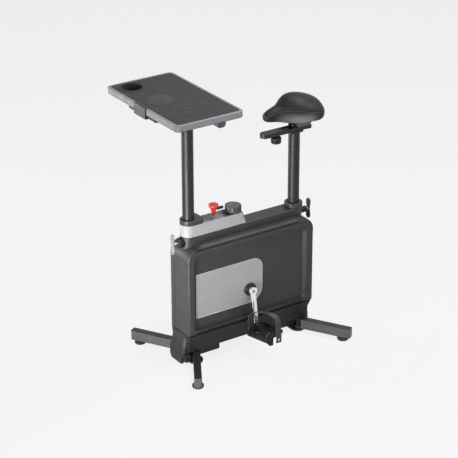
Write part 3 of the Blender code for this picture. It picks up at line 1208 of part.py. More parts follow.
def pedal(name, side, place, crank_empty):
    """A cage pedal that hangs toe down, skewed in plan, with a keel below and a strap across it."""
    turn = joint_empty(f"{name}_pedal_axis", place, crank_empty)
    corner = PEDAL_CORNER
    rings = [(0, corner), (corner, 0), (PEDAL_WIDTH - corner, 0), (PEDAL_WIDTH, corner)]
    body = loft(f"{name}_pedal", [pedal_ring(side, out, trim) for out, trim in rings], "black_plastic",
                twisted=True)
    helpers = []
    for i, corners in enumerate(PEDAL_WINDOWS):
        outline = [(x, side * (PEDAL_INNER_Y + out)) for x, out in corners]
        helpers.append(plate(f"{name}_pedal_window_{i}", outline, -0.05, 0.03))
    keel_y = span(side, PEDAL_INNER_Y + PEDAL_KEEL_Y[0], PEDAL_INNER_Y + PEDAL_KEEL_Y[1])
    keel = plate(f"{name}_pedal_keel", PEDAL_KEEL, *keel_y, "XZ")
    bore = rod(f"{name}_pedal_bore", (0, side * (PEDAL_INNER_Y - CUT_PAST), 0),
               (0, side * (PEDAL_OUTER_Y - PEDAL_END_WALL), 0), PEDAL_AXLE_RADIUS + GAP, sides=20)
    cut(body, *helpers)
    fuse(body, keel)
    cut(body, bore)
    body.parent = turn
    follow(body, keel, bore, *helpers)
    foot_strap(name, side).parent = turn


def foot_strap(name, side):
    """The strap: an arch that crosses the pedal aslant, with a hanging end on the outer side."""
    t = STRAP_THICKNESS
    y0 = PEDAL_INNER_Y - GAP - t
    y1 = PEDAL_OUTER_Y + GAP + t
    top, corner, foot = STRAP_HEIGHT, STRAP_CORNER, STRAP_FOOT
    path = [(y0, foot, 0), (y0, top, corner), (y1, top, corner), (y1, foot, 0), (y1 - t, foot, 0),
            (y1 - t, top - t, corner - t), (y0 + t, top - t, corner - t), (y0 + t, foot, 0)]
    outline = rounded([(side * y, z, r) for y, z, r in path], steps=6)
    strap = plate(f"{name}_pedal_strap", outline, -STRAP_WIDTH / 2, STRAP_WIDTH / 2, "YZ", "rubber")
    for vertex in strap.data.vertices:
        across = (abs(vertex.co.y) - (y0 + y1) / 2) / (y1 - y0)
        vertex.co.x += STRAP_SHIFT + STRAP_SKEW * across
    low, high = span(side, y1 - t + GAP, y1 - GAP)
    tail = block(f"{name}_strap_tail", (STRAP_TAIL_X[0], low, -STRAP_TAIL), (STRAP_TAIL_X[1], high, 0))
    eye_x = (STRAP_TAIL_X[0] + STRAP_TAIL_X[1]) / 2
    eye = rod(f"{name}_strap_eye", (eye_x, low - CUT_PAST, STRAP_EYE_Z),
              (eye_x, high + CUT_PAST, STRAP_EYE_Z), STRAP_EYE_RADIUS, sides=12)
    follow(strap, tail, eye)
    fuse(strap, tail)
    return cut(strap, eye)


# Desk

def index_post(name, x, top, foot, holes, first_hole_z, fore):
    """A post closed at its top, with a row of index holes on one side."""
    r, bore = POST_RADIUS, POST_RADIUS - POST_WALL
    profile = [(0, top), (r, top), (r, foot), (bore, foot), (bore, top - POST_WALL), (0, top - POST_WALL)]
    post = turned(name, profile, (x, 0, 0), look="post_steel", steps=28)
    bm = bmesh.new()
    for i in range(holes):
        centre = Vector((x + fore * r, 0, first_hole_z + i * INDEX_HOLE_PITCH))
        place = Matrix.Translation(centre) @ Matrix.Rotation(math.pi / 2, 4, "Y")
        bmesh.ops.create_cone(bm, cap_ends=True, segments=6, radius1=INDEX_HOLE_RADIUS,
                              radius2=INDEX_HOLE_RADIUS, depth=POST_WALL * 6, matrix=place)
    return cut(post, add_object(name + "_index_holes", mesh_from(bm, name + "_index_holes")))


def desk():
    axis = joint_empty("desk_height", (DESK_X, 0, COLLAR_TOP))
    post = index_post("desk_post", DESK_X, DESK_POST_TOP, DESK_POST_FOOT, DESK_INDEX_HOLES, FRONT_LOCK_Z, -1)
    carry(axis, post, cross_beam(), desktop(), desk_mat(), cup_holder(), front_clip())


def cross_beam():
    half, low, high = BEAM_HALF_WIDTH, BEAM_BOTTOM, BEAM_TOP
    outline = rounded([(DESK_X - half, low, BEAM_CORNER), (DESK_X + half, low, BEAM_CORNER),
                       (DESK_X + half, high, 0), (DESK_X - half, high, 0)], steps=6)
    beam = plate("desk_cross_beam", outline, -BEAM_HALF_LENGTH, BEAM_HALF_LENGTH, "XZ", "desk_edge")
    w = BEAM_WALL
    front, rear, r = DESK_X - half + w, DESK_X + half - w, BEAM_CORNER - w
    inside = rounded([(front, low + w, r), (rear, low + w, r), (rear, high + CUT_PAST, 0),
                      (front, high + CUT_PAST, 0)], steps=6)
    return cut(beam, plate("beam_inside", inside, -BEAM_HALF_LENGTH + w, BEAM_HALF_LENGTH - w, "XZ"))


def desk_outline(inset=0.0):
    x0, x1 = DESK_X - DESK_AHEAD + inset, DESK_X + DESK_BEHIND - inset
    y = DESK_HALF_WIDTH - inset
    r = DESK_CORNER - inset * 0.6
    return rounded([(x0, -y, r), (x1, -y, r), (x1, y, r), (x0, y, r)], steps=4)


def cup_cutter(name, radius):
    x = DESK_X - CUP_AHEAD
    return rod(name, (x, CUP_Y, DESK_TOP - 0.1), (x, CUP_Y, DESK_TOP + 0.1), radius, sides=32)


def desktop():
    """The desk board: a lipped tray above, and two shallow bays either side of the beam below."""
    bottom = DESK_TOP - DESK_THICKNESS
    board = plate("desktop", desk_outline(), bottom, DESK_TOP, look="desk_edge")
    soften(board, 0.002, 1, angle=60)
    bays = []
    ledge = BEAM_HALF_WIDTH + BEAM_LEDGE
    x_front = (DESK_X - DESK_AHEAD + DESK_RIM + 0.002, DESK_X - ledge)
    x_rear = (DESK_X + ledge, DESK_X + DESK_BEHIND - DESK_RIM)
    y, r = DESK_HALF_WIDTH - DESK_RIM, BAY_CORNER
    for i, (x0, x1) in enumerate((x_front, x_rear)):
        bay = rounded([(x0, -y, r), (x1, -y, r), (x1, y, r), (x0, y, r)], steps=2)
        bays.append(plate(f"desk_bay_{i}", bay, bottom - CUT_PAST, DESK_TOP - BOARD_THICKNESS))
    cut(board, plate("mat_recess", desk_outline(DESK_LIP), DESK_TOP - MAT_RECESS, DESK_TOP + CUT_PAST), *bays)
    return cut(board, cup_cutter("desk_cup_hole", CUP_RADIUS + GAP))


def desk_mat():
    low = DESK_TOP - MAT_RECESS + GAP
    mat = plate("desk_mat", desk_outline(DESK_LIP + GAP * 2), low, low + MAT_THICKNESS, look="desk_mat")
    return cut(mat, cup_cutter("mat_cup_hole", CUP_RADIUS + GAP))


def cup_holder():
    """A round cup let into the desk near its far front corner, with a flat bezel over the mat."""
    seat_z = DESK_TOP - MAT_RECESS + GAP + MAT_THICKNESS
    r, w, low = CUP_RADIUS, CUP_WALL, seat_z - CUP_DEPTH
    top, rim, c = seat_z + GAP + CUP_BEZEL, CUP_BEZEL_RADIUS, CUP_CHAMFER
    profile = [(0, low + w), (r - w - c, low + w), (r - w, low + w + c), (r - w, top - 0.0005),
               (r - w + 0.0005, top), (rim - 0.0008, top), (rim, top - 0.0008), (rim, seat_z + GAP),
               (r, seat_z + GAP), (r, low + c), (r - c, low), (0, low)]
    return turned("cup_holder", profile, (DESK_X - CUP_AHEAD, CUP_Y, 0), look="black_plastic", steps=32)


def front_clip():
    """A clip over the desk's front edge, with a shallow holder hung under the edge."""
    edge = DESK_X - DESK_AHEAD
    low, t, g = DESK_TOP - DESK_THICKNESS - GAP, CLIP_PROUD - GAP, GAP
    foot, over, top = edge + CLIP_FOOT, edge + CLIP_OVER, DESK_TOP + GAP + CLIP_THICKNESS
    base, w = low - HOLDER_HEIGHT, HOLDER_WALL
    hook = [(edge - g - t, base, 0.003), (foot, base, 0), (foot, low, 0), (edge - g, low, 0),
            (edge - g, DESK_TOP + g, 0), (over, DESK_TOP + g, 0), (over, top, 0.001),
            (edge - g - t, top, 0.002)]
    clip = plate("front_clip", rounded(hook, 3), -CLIP_HALF_WIDTH, CLIP_HALF_WIDTH, "XZ", "black_plastic")
    holder = [(edge + 0.004, low, 0), (edge + 0.006, base, 0.010), (edge + HOLDER_DEPTH, base, 0.012),
              (edge + HOLDER_DEPTH + 0.004, low, 0)]
    outline = rounded(holder, 4)
    body = plate("clip_holder", outline, -HOLDER_HALF_WIDTH, HOLDER_HALF_WIDTH, "XZ")
    fuse(clip, body)
    start = foot + 0.004
    inner = [(start, low + CUT_PAST, 0), (start, base + w, 0.010 - w),
             (edge + HOLDER_DEPTH - w, base + w, 0.012 - w), (edge + HOLDER_DEPTH, low + CUT_PAST, 0)]
    half = HOLDER_HALF_WIDTH - w
    return cut(clip, plate("clip_holder_inside", rounded(inner, 4), -half, half, "XZ"))


# Saddle

def seat():
    axis = joint_empty("seat_height", (SEAT_X, 0, SEAT_COLLAR_TOP))
    post = index_post("seat_post", SEAT_X, SEAT_POST_TOP, SEAT_POST_FOOT, SEAT_INDEX_HOLES, REAR_LOCK_Z, 1)
    x0, x1, y = SEAT_X - HEAD_PLATE_AHEAD, SEAT_X + HEAD_PLATE_BEHIND, HEAD_PLATE_HALF
    head = plate("head_plate", rounded([(x0, -y, 0.008), (x1, -y, 0.008), (x1, y, 0.008), (x0, y, 0.008)], 3),
                 SEAT_POST_TOP - HEAD_PLATE, SEAT_POST_TOP)
    fuse(post, head)
    carry(axis, post, seat_rail())
    slide = joint_empty("saddle_slide", (SEAT_X, 0, RAIL_TOP), axis)
    carry(slide, saddle_carriage(), saddle_base(), saddle_cushion())
    x = SEAT_X - SLIDER_AHEAD
    top, r, low = SLIDER_KNOB_TOP, SLIDER_KNOB_RADIUS, SLIDER_KNOB_TOP - SLIDER_KNOB_HEIGHT
    bore, hub_top = SLIDER_BOLT_RADIUS + GAP, RAIL_BOTTOM - GAP
    profile = [(0, low + 0.008), (bore, low + 0.008), (bore, hub_top), (0.010, hub_top), (0.010, top + 0.001),
               (r - 0.004, top), (r, top - 0.004), (r, low + 0.005), (r - 0.004, low), (0, low)]
    knob = turned("slider_knob", profile, (x, 0, 0), look="black_plastic", steps=24)
    carry(joint_empty("slider_knob_turn", (x, 0, top), slide), knob)


def seat_rail():
    """A slotted box rail with a round nose and an end cap, which the saddle carriage slides in."""
    x0, x1, y = SEAT_X - RAIL_AHEAD, SEAT_X + RAIL_BEHIND, RAIL_HALF_WIDTH
    top, w = RAIL_TOP, RAIL_WALL
    rail = plate("seat_rail", rounded([(x0, -y, y), (x1, -y, 0.004), (x1, y, 0.004), (x0, y, y)], 6),
                 RAIL_BOTTOM, top, look="frame_paint")
    cap_y = y + RAIL_CAP_PROUD
    fuse(rail, block("rail_end", (x1 - RAIL_CAP_LAP, -cap_y, RAIL_BOTTOM + UNION_STEP),
                     (x1 + RAIL_CAP, cap_y, top + UNION_STEP)))
    inside = block("rail_inside", (x0 + RAIL_NOSE, -y + w, RAIL_BOTTOM + w), (x1 - w, y - w, top - w))
    past = SADDLE_TRAVEL + TRAVEL_ROOM
    slot_half = TAB_Y[1] + SLOT_ROOM
    top_slot = block("rail_top_slot", (SEAT_X - TAB_AHEAD - past, -slot_half, top - w - CUT_PAST / 2),
                     (SEAT_X + STEM_BEHIND + STEM_RADIUS + past, slot_half, top + CUT_PAST / 2))
    bolt_x, bolt = SEAT_X - SLIDER_AHEAD, SLIDER_BOLT_RADIUS + SLOT_ROOM
    bottom_slot = block("rail_bottom_slot", (bolt_x - SADDLE_TRAVEL - bolt, -bolt, RAIL_BOTTOM - CUT_PAST / 2),
                        (bolt_x + SADDLE_TRAVEL + bolt, bolt, RAIL_BOTTOM + w + CUT_PAST / 2))
    return cut(rail, inside, top_slot, bottom_slot)


def saddle_carriage():
    """The bar that slides in the rail, with a clamp bolt below and tabs, stems and a pad above."""
    y = RAIL_HALF_WIDTH - RAIL_WALL - SLIDE_CLEARANCE
    bolt_x = SEAT_X - SLIDER_AHEAD
    bar_low, bar_high = RAIL_BOTTOM + RAIL_WALL + GAP, RAIL_TOP - RAIL_WALL - SLIDE_CLEARANCE
    bar = block("saddle_carriage", (bolt_x - 0.010, -y, bar_low), (SEAT_X + 0.021, y, bar_high),
                "frame_paint")
    solids = [rod("clamp_bolt", (bolt_x, 0, SLIDER_KNOB_TOP - SLIDER_KNOB_HEIGHT + 0.010),
                  (bolt_x, 0, bar_low + 0.004), SLIDER_BOLT_RADIUS, sides=16)]
    pad_low, pad_high, root = RAIL_TOP + 0.0008, PAN_LEVELS[0][0] - GAP, bar_high - 0.004
    for name, side in sides():
        at = (SEAT_X + STEM_BEHIND, side * STEM_Y)
        solids.append(rod(f"{name}_stem", (*at, root), (*at, pad_low + 0.0005), STEM_RADIUS, sides=12))
        low, high = span(side, *TAB_Y)
        solids.append(block(f"{name}_tab", (SEAT_X - TAB_AHEAD, low, root),
                            (SEAT_X - TAB_END, high, TAB_TOP)))
    x0, x1, half = SEAT_X - TAB_AHEAD + 0.004, SEAT_X + PAD_BEHIND, PAD_HALF_WIDTH
    pad = rounded([(x0, -half, 0.008), (x1, -half, 0.008), (x1, half, 0.008), (x0, half, 0.008)], 3)
    solids.append(plate("clamp_pad", pad, pad_low, pad_high))
    return fuse(bar, *solids)


# Saddle stations from nose to tail: distance behind the post, half width, bottom, edge line and top
SADDLE_STATIONS = (
    (-0.1600, 0.008, 1.018, 1.030, 1.036),
    (-0.1510, 0.016, 1.013, 1.034, 1.047),
    (-0.1300, 0.023, 1.008, 1.042, 1.0555),
    (-0.1050, 0.028, 1.002, 1.046, 1.0605),
    (-0.0860, 0.034, 0.998, 1.048, 1.066),
    (-0.0740, 0.041, 0.995, 1.050, 1.079),
    (-0.0550, 0.054, 0.991, 1.052, 1.099),
    (-0.0250, 0.076, 0.985, 1.050, 1.107),
    (0.0100, 0.092, 0.978, 1.044, 1.104),
    (0.0500, 0.102, 0.975, 1.036, 1.093),
    (0.0850, 0.102, 0.976, 1.030, 1.078),
    (0.1080, 0.086, 0.985, 1.028, 1.063),
    (0.1220, 0.048, 1.002, 1.026, 1.046),
)
# Half of a ring: share of the half width, of the height below the edge line and of the height above it
SADDLE_RING = ((0.42, 1.0, 0.0), (0.76, 0.72, 0.0), (0.99, 0.20, 0.0), (1.03, 0.0, 0.02), (0.88, 0.0, 0.30),
               (0.60, 0.0, 0.66), (0.28, 0.0, 0.98))


def saddle_ring(behind, half, low, edge, top):
    """One ring of the cushion's cage, from the bottom up the far side and down the near side."""
    shape = [(share * half, edge - below * (edge - low) + above * (top - edge))
             for share, below, above in SADDLE_RING]
    shape += [(-y, z) for y, z in reversed(shape)]
    return [(SEAT_X + behind, y, z) for y, z in shape]


def saddle_cushion():
    """The padded saddle: a broad raised rear, a slim nose and flanks that tuck in below an edge line."""
    cushion = loft("saddle_cushion", [saddle_ring(*station) for station in SADDLE_STATIONS], "saddle_cover")
    smooth = cushion.modifiers.new("smooth", "SUBSURF")
    smooth.levels = 1
    smooth.render_levels = 1
    flat = block("saddle_underside", (SEAT_X - 0.3, -0.2, 0.90), (SEAT_X + 0.3, 0.2, PAN_LEVELS[-1][0] + GAP))
    return cut(cushion, flat)


def saddle_base():
    """The stiff pan under the cushion, narrower towards the rail."""
    sections = []
    for z, front, rear, half in PAN_LEVELS:
        x0, x1, r = SEAT_X + front, SEAT_X + rear, PAN_CORNER
        outline = rounded([(x0, -half, r), (x1, -half, r), (x1, half, r), (x0, half, r)], 4)
        sections.append([(x, y, z) for x, y in outline])
    return loft("saddle_base", sections, "saddle_shell")


def build():
    legs()
    base_frame()
    base_apron()
    transport_wheels()
    main_frame()
    post_bushes()
    centre_band()
    side_shells()
    trim_panels()
    top_housing()
    console_cover()
    collars()
    lock("front", DESK_X, -1, FRONT_LOCK_Z, FRONT_BOSS_RADIUS, FRONT_BOSS_LENGTH, FRONT_HANDLE_OUT)
    lock("rear", SEAT_X, 1, REAR_LOCK_Z, REAR_BOSS_RADIUS, REAR_BOSS_LENGTH, REAR_HANDLE_OUT)
    dial_knob()
    brake()
    crank()
    flywheel()
    drive_belt()
    desk()
    seat()
    for obj in PARTS.objects:
        if obj.type == "MESH":
            obj.data.shade_smooth()
            obj.data.set_sharp_from_angle(angle=math.radians(35))


build()
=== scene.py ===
"""Looks for the folding desk exercise bike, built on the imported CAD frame. Metres, +Z up, floor at Z = 0."""
import json
import math

import bmesh
import bpy
from mathutils import Matrix, Vector
from mathutils.bvhtree import BVHTree


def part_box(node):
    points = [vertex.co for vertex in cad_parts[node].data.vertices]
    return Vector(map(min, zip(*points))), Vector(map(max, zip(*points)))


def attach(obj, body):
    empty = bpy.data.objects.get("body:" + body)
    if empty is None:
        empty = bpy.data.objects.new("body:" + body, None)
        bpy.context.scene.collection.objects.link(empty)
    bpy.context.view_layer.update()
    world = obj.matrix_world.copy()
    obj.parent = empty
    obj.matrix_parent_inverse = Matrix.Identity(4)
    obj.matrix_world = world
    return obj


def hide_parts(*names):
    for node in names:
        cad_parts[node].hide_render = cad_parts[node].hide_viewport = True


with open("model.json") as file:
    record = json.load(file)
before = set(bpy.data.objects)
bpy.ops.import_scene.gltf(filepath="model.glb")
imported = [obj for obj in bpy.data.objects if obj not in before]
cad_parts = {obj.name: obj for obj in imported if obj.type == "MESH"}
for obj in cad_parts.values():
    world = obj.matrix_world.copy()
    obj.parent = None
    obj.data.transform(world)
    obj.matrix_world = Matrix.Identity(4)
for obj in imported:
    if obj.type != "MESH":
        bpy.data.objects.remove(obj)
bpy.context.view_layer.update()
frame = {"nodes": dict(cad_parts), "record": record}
NODES = frame["nodes"]


def middle(node):
    low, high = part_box(node)
    return (low + high) / 2


DESK_X = middle("desk_post").x
SEAT_X = middle("seat_post_bush").x
CRANK = middle("crank_spindle")

# Photograph's camera: turn and tilt in degrees, lens in pixels, and the pixel of a point on the centre plane
IMAGE_SIZE = 458
CAMERA_TURN = -33.57
CAMERA_TILT = 24.85
CAMERA_ROLL = -0.0027
CAMERA_FOCAL_PIXELS = 1800.5
CAMERA_DISTANCE = 7.54
TARGET_PIXEL = (241.8, 149.23)
TARGET_HEIGHT = 0.9096
SENSOR = 36.0


# Materials

def new_material(name):
    """A node material, with its node tree and its shader."""
    material = bpy.data.materials.new(name)
    material.use_nodes = True
    tree = material.node_tree
    shader = tree.nodes["Principled BSDF"]
    return material, tree, shader


def add_node(tree, kind, **values):
    """A node with its settings and its inputs, named by their labels."""
    node = tree.nodes.new(kind)
    for key, value in values.items():
        if key in node.inputs:
            node.inputs[key].default_value = value
        else:
            setattr(node, key, value)
    return node


def coordinates(tree, stretch=(1, 1, 1)):
    """Object coordinates, stretched along each axis."""
    place = add_node(tree, "ShaderNodeTexCoord")
    mapping = add_node(tree, "ShaderNodeMapping")
    mapping.inputs["Scale"].default_value = stretch
    tree.links.new(place.outputs["Object"], mapping.inputs["Vector"])
    return mapping.outputs["Vector"]


def noise_field(tree, vector, scale, detail=3.0, roughness=0.55):
    field = add_node(tree, "ShaderNodeTexNoise", Scale=scale, Detail=detail, Roughness=roughness)
    tree.links.new(vector, field.inputs["Vector"])
    return field.outputs["Fac"]


def spread(tree, value, low, high, low_in=0.3, high_in=0.7):
    """A field stretched to run between two numbers."""
    remap = tree.nodes.new("ShaderNodeMapRange")
    remap.inputs["From Min"].default_value = low_in
    remap.inputs["From Max"].default_value = high_in
    remap.inputs["To Min"].default_value = low
    remap.inputs["To Max"].default_value = high
    tree.links.new(value, remap.inputs["Value"])
    return remap.outputs["Result"]


def blend_colours(tree, factor, first, second):
    mix = tree.nodes.new("ShaderNodeMix")
    mix.data_type = "RGBA"
    tree.links.new(factor, mix.inputs["Factor"])
    for socket, colour in ((mix.inputs[6], first), (mix.inputs[7], second)):
        if isinstance(colour, tuple):
            socket.default_value = (*colour, 1)
        else:
            tree.links.new(colour, socket)
    return mix.outputs[2]


def bump(tree, shader, height, strength, distance):
    node = add_node(tree, "ShaderNodeBump", Strength=strength, Distance=distance)
    tree.links.new(height, node.inputs["Height"])
    tree.links.new(node.outputs["Normal"], shader.inputs["Normal"])
    return node


def tinted(colour, share):
    """A colour made darker or lighter."""
    return tuple(min(1.0, c * share) for c in colour)


def moulded(name, colour, roughness=0.45, grain=900.0, depth=0.00012, clouds=0.08, metallic=0.0,
            specular=0.5, painted_shade_band=None):
    """Plastic or paint: a fine grain, a cloud in the colour, an uneven gloss and perhaps a band of painted
    shade by height.
    """
    material, tree, shader = new_material(name)
    vector = coordinates(tree)
    cloud = noise_field(tree, vector, 7.0)
    fine = noise_field(tree, vector, grain, 2.0)
    mottle = spread(tree, noise_field(tree, vector, 60.0, 4.0), 0.0, 1.0)
    tone = blend_colours(tree, spread(tree, cloud, 0.0, 1.0), tinted(colour, 1 - clouds),
                         tinted(colour, 1 + clouds))
    speck = blend_colours(tree, mottle, tinted(colour, 1 - clouds / 2), tone)
    # Painted shade: the colour turns darker across a band of heights
    if painted_shade_band is not None:
        start, end, share = painted_shade_band
        apart = tree.nodes.new("ShaderNodeSeparateXYZ")
        tree.links.new(vector, apart.inputs[0])
        speck = blend_colours(tree, spread(tree, apart.outputs["Z"], 0.0, 1.0, start, end), speck,
                              tinted(colour, share))
    tree.links.new(speck, shader.inputs["Base Color"])
    tree.links.new(spread(tree, noise_field(tree, vector, 23.0, 5.0), roughness - 0.06, roughness + 0.07),
                   shader.inputs["Roughness"])
    shader.inputs["Metallic"].default_value = metallic
    shader.inputs["Specular IOR Level"].default_value = specular
    bump(tree, shader, fine, 0.5, depth)
    return material


def brushed(name, colour, roughness=0.3, along="X", scale=260.0, depth=0.00005, metallic=1.0):
    """Metal brushed along one axis, with a faint streak in its colour and gloss."""
    material, tree, shader = new_material(name)
    stretch = tuple(0.03 if axis == along else 1.0 for axis in "XYZ")
    vector = coordinates(tree, stretch)
    streak = noise_field(tree, vector, scale, 4.0, 0.7)
    tone = blend_colours(tree, spread(tree, streak, 0.0, 1.0), tinted(colour, 0.9), tinted(colour, 1.07))
    tree.links.new(tone, shader.inputs["Base Color"])
    tree.links.new(spread(tree, streak, roughness - 0.05, roughness + 0.08), shader.inputs["Roughness"])
    shader.inputs["Metallic"].default_value = metallic
    bump(tree, shader, streak, 0.35, depth)
    return material


# The saddle's lower flank beside the post painted greyer, a painted reflection of the pale floor: its fade by
# height, its fades at the front and back of the post, and its grey
FLANK_REFLECTION_HEIGHTS = (1.042, 1.012)
FLANK_REFLECTION_ENDS = ((-0.12, -0.03), (0.065, 0.02))
FLANK_REFLECTION_GREY = 0.17


def leather(name, colour, roughness=0.42, cell=420.0):
    """Grained leathercloth: rounded cells with fine creases darkened as painted shade, and a painted greyer
    reflection low on the flank beside the post.
    """
    material, tree, shader = new_material(name)
    vector = coordinates(tree)
    cells = add_node(tree, "ShaderNodeTexVoronoi", feature="DISTANCE_TO_EDGE", Scale=cell)
    tree.links.new(vector, cells.inputs["Vector"])
    crease = spread(tree, cells.outputs["Distance"], 0.0, 1.0, 0.0, 0.25)
    # Painted shade: the colour is darker along the grain's creases
    tone = blend_colours(tree, crease, tinted(colour, 0.6), tinted(colour, 1.1))
    cloud = spread(tree, noise_field(tree, vector, 9.0), 0.0, 1.0)
    apart = tree.nodes.new("ShaderNodeSeparateXYZ")
    tree.links.new(vector, apart.inputs[0])
    # Painted reflection: low on the flank beside the post the colour turns grey, as if lit by the pale floor
    flank_reflection = spread(tree, apart.outputs["Z"], 0.0, 1.0, *FLANK_REFLECTION_HEIGHTS)
    for first, last in FLANK_REFLECTION_ENDS:
        beside = spread(tree, apart.outputs["X"], 0.0, 1.0, SEAT_X + first, SEAT_X + last)
        both = add_node(tree, "ShaderNodeMath", operation="MULTIPLY")
        tree.links.new(flank_reflection, both.inputs[0])
        tree.links.new(beside, both.inputs[1])
        flank_reflection = both.outputs[0]
    tone = blend_colours(tree, flank_reflection, blend_colours(tree, cloud, tinted(colour, 0.9), tone),
                         (FLANK_REFLECTION_GREY,) * 3)
    tree.links.new(tone, shader.inputs["Base Color"])
    tree.links.new(spread(tree, noise_field(tree, vector, 30.0, 4.0), roughness - 0.05, roughness + 0.08),
                   shader.inputs["Roughness"])
    shader.inputs["Specular IOR Level"].default_value = 0.24
    bump(tree, shader, crease, 0.45, 0.00025)
    return material


def webbing(name, colour, turn, pitch=0.0032):
    """Ribbed strap: fine ribs along its length, which runs aslant, and a faint dusty bloom."""
    material, tree, shader = new_material(name)
    place = add_node(tree, "ShaderNodeTexCoord")
    mapping = add_node(tree, "ShaderNodeMapping")
    mapping.inputs["Rotation"].default_value = (0, 0, math.radians(turn))
    tree.links.new(place.outputs["Object"], mapping.inputs["Vector"])
    ribs = add_node(tree, "ShaderNodeTexWave", Scale=2 * math.pi / (20 * pitch), Distortion=0.0)
    tree.links.new(mapping.outputs["Vector"], ribs.inputs["Vector"])
    cloud = spread(tree, noise_field(tree, place.outputs["Object"], 30.0, 4.0), 0.0, 1.0)
    # Painted light and shade: the colour is lighter on the ribs' crests and darker in their troughs
    tone = blend_colours(tree, ribs.outputs["Fac"], tinted(colour, 0.75), tinted(colour, 1.2))
    tree.links.new(blend_colours(tree, cloud, tinted(colour, 0.85), tone), shader.inputs["Base Color"])
    tree.links.new(spread(tree, cloud, 0.45, 0.6, 0.0, 1.0), shader.inputs["Roughness"])
    bump(tree, shader, ribs.outputs["Fac"], 0.5, 0.0003)
    return material


# Painted shade by height: the leg tops darker than their sides, and a darker low band on the desk's edge; the
# heights where the change starts and is full, and its share of the colour
LEG_TOP_PAINTED_SHADE = (0.0570, 0.0590, 0.16)
DESK_LOW_PAINTED_SHADE = (1.1845, 1.1825, 0.45)
STRAP_SLANT = 35.75

MATERIALS = {
    "housing": moulded("housing_plastic", (0.026, 0.026, 0.027), 0.42, 1100, 0.00008, specular=0.32),
    "apron": moulded("apron_plastic", (0.016, 0.016, 0.0165), 0.45, 1100, 0.00008, specular=0.2),
    "black": moulded("black_plastic", (0.007, 0.007, 0.0072), 0.42, 900, 0.00008, specular=0.22),
    "clip": moulded("clip_plastic", (0.024, 0.024, 0.025), 0.45, 900, 0.00008, specular=0.3),
    "silver_panel": brushed("silver_panel", (0.33, 0.33, 0.34), 0.42, "X", 300, 0.00002, 0.55),
    # A bright metal for the painted highlight on the silver panels' edges
    "highlight_rim": brushed("highlight_rim", (0.72, 0.72, 0.73), 0.3, "X", 300, 0.00002, 0.9),
    "console": moulded("console_silver", (0.28, 0.28, 0.287), 0.5, 1200, 0.00005, 0.04, 0.0, 0.3),
    # Painted shade: the leg paint turns much darker on the legs' tops, above a height
    "leg_paint": moulded("leg_paint", (0.104, 0.104, 0.108), 0.4, 800, 0.00006, 0.06, 0.1, 0.28,
                         painted_shade_band=LEG_TOP_PAINTED_SHADE),
    "handle": moulded("handle_paint", (0.19, 0.19, 0.20), 0.4, 800, 0.00006, 0.05, 0.3),
    "frame_paint": moulded("frame_paint", (0.012, 0.012, 0.0125), 0.42, 800, 0.00008, specular=0.3),
    "post": brushed("post_satin", (0.009, 0.009, 0.0095), 0.4, "Z", 240, 0.00002, 0.35),
    "steel": brushed("turned_steel", (0.62, 0.62, 0.64), 0.26, "X", 500),
    "crank": brushed("crank_alloy", (0.84, 0.84, 0.85), 0.2, "Z", 300, 0.00003),
    "iron": moulded("machined_iron", (0.12, 0.12, 0.12), 0.5, 300, 0.0002, 0.1, 0.8),
    "rubber": moulded("rubber", (0.020, 0.020, 0.020), 0.6, 700, 0.00015, 0.12, specular=0.35),
    "strap_left": webbing("left_strap", (0.022, 0.022, 0.023), -STRAP_SLANT),
    "strap_right": webbing("right_strap", (0.022, 0.022, 0.023), STRAP_SLANT),
    "nylon": moulded("nylon", (0.65, 0.65, 0.62), 0.5, 900, 0.00005),
    "red": moulded("red_plastic", (0.44, 0.020, 0.018), 0.3, 1200, 0.00004, 0.05),
    # Painted shade: the desk's edge turns darker in a band along its bottom
    "desk_edge": moulded("desk_edge", (0.245, 0.245, 0.255), 0.46, 1000, 0.00005, 0.04, 0.0, 0.18,
                         painted_shade_band=DESK_LOW_PAINTED_SHADE),
    "desk_mat": moulded("desk_mat", (0.029, 0.029, 0.030), 0.62, 1500, 0.00015, 0.05, specular=0.25),
    "saddle": leather("saddle_cover", (0.007, 0.007, 0.0078), 0.48),
    "seam": moulded("saddle_piping", (0.024, 0.024, 0.025), 0.5, 1500, 0.0001, 0.1),
    "saddle_shell": moulded("saddle_shell", (0.05, 0.05, 0.052), 0.45, 800, 0.0001),
    "mat_pad": moulded("mat_pad", (0.038, 0.038, 0.039), 0.58, 1500, 0.00012, 0.05, specular=0.27),
    "dial_body": moulded("dial_body", (0.032, 0.032, 0.033), 0.4, 1100, 0.00006, 0.06, specular=0.4),
    "dial_face": moulded("dial_face", (0.050, 0.050, 0.052), 0.4, 1400, 0.00006, 0.06),
    "dial_marks": moulded("dial_marks", (0.42, 0.42, 0.42), 0.5, 1400, 0.00004, 0.04),
}
MATERIAL_OF_SLOT = {
    "dark_plastic": "housing", "black_plastic": "black", "silver_panel": "silver_panel",
    "silver_plastic": "console", "grey_paint": "leg_paint", "frame_paint": "frame_paint", "post_steel": "post",
    "bright_steel": "steel", "crank_alloy": "crank", "cast_iron": "iron", "rubber": "rubber", "nylon": "nylon",
    "red_plastic": "red", "desk_edge": "desk_edge", "desk_mat": "desk_mat", "saddle_cover": "saddle",
    "saddle_shell": "saddle_shell",
}
SLOT_OF_NODE = {part["node"]: part["material_slot"] for part in frame["record"]["subparts"]}
FINISH_OF_NODE = {"left_pedal_strap": "strap_left", "right_pedal_strap": "strap_right", "front_clip": "clip",
                  "cup_holder": "desk_mat", "front_lock_handle": "handle", "rear_lock_handle": "clip",
                  "dial_knob": "dial_body", "base_apron": "apron"}


def paint(obj, material):
    obj.data.materials.clear()
    obj.data.materials.append(MATERIALS[material])


# Pieces that stay as the CAD has them: a better material and eased edges

PLAIN_EASE = 0.0005
EDGE_EASE = {"desktop": 0.0006, "desk_mat": 0.0002, "centre_band": 0.0004}


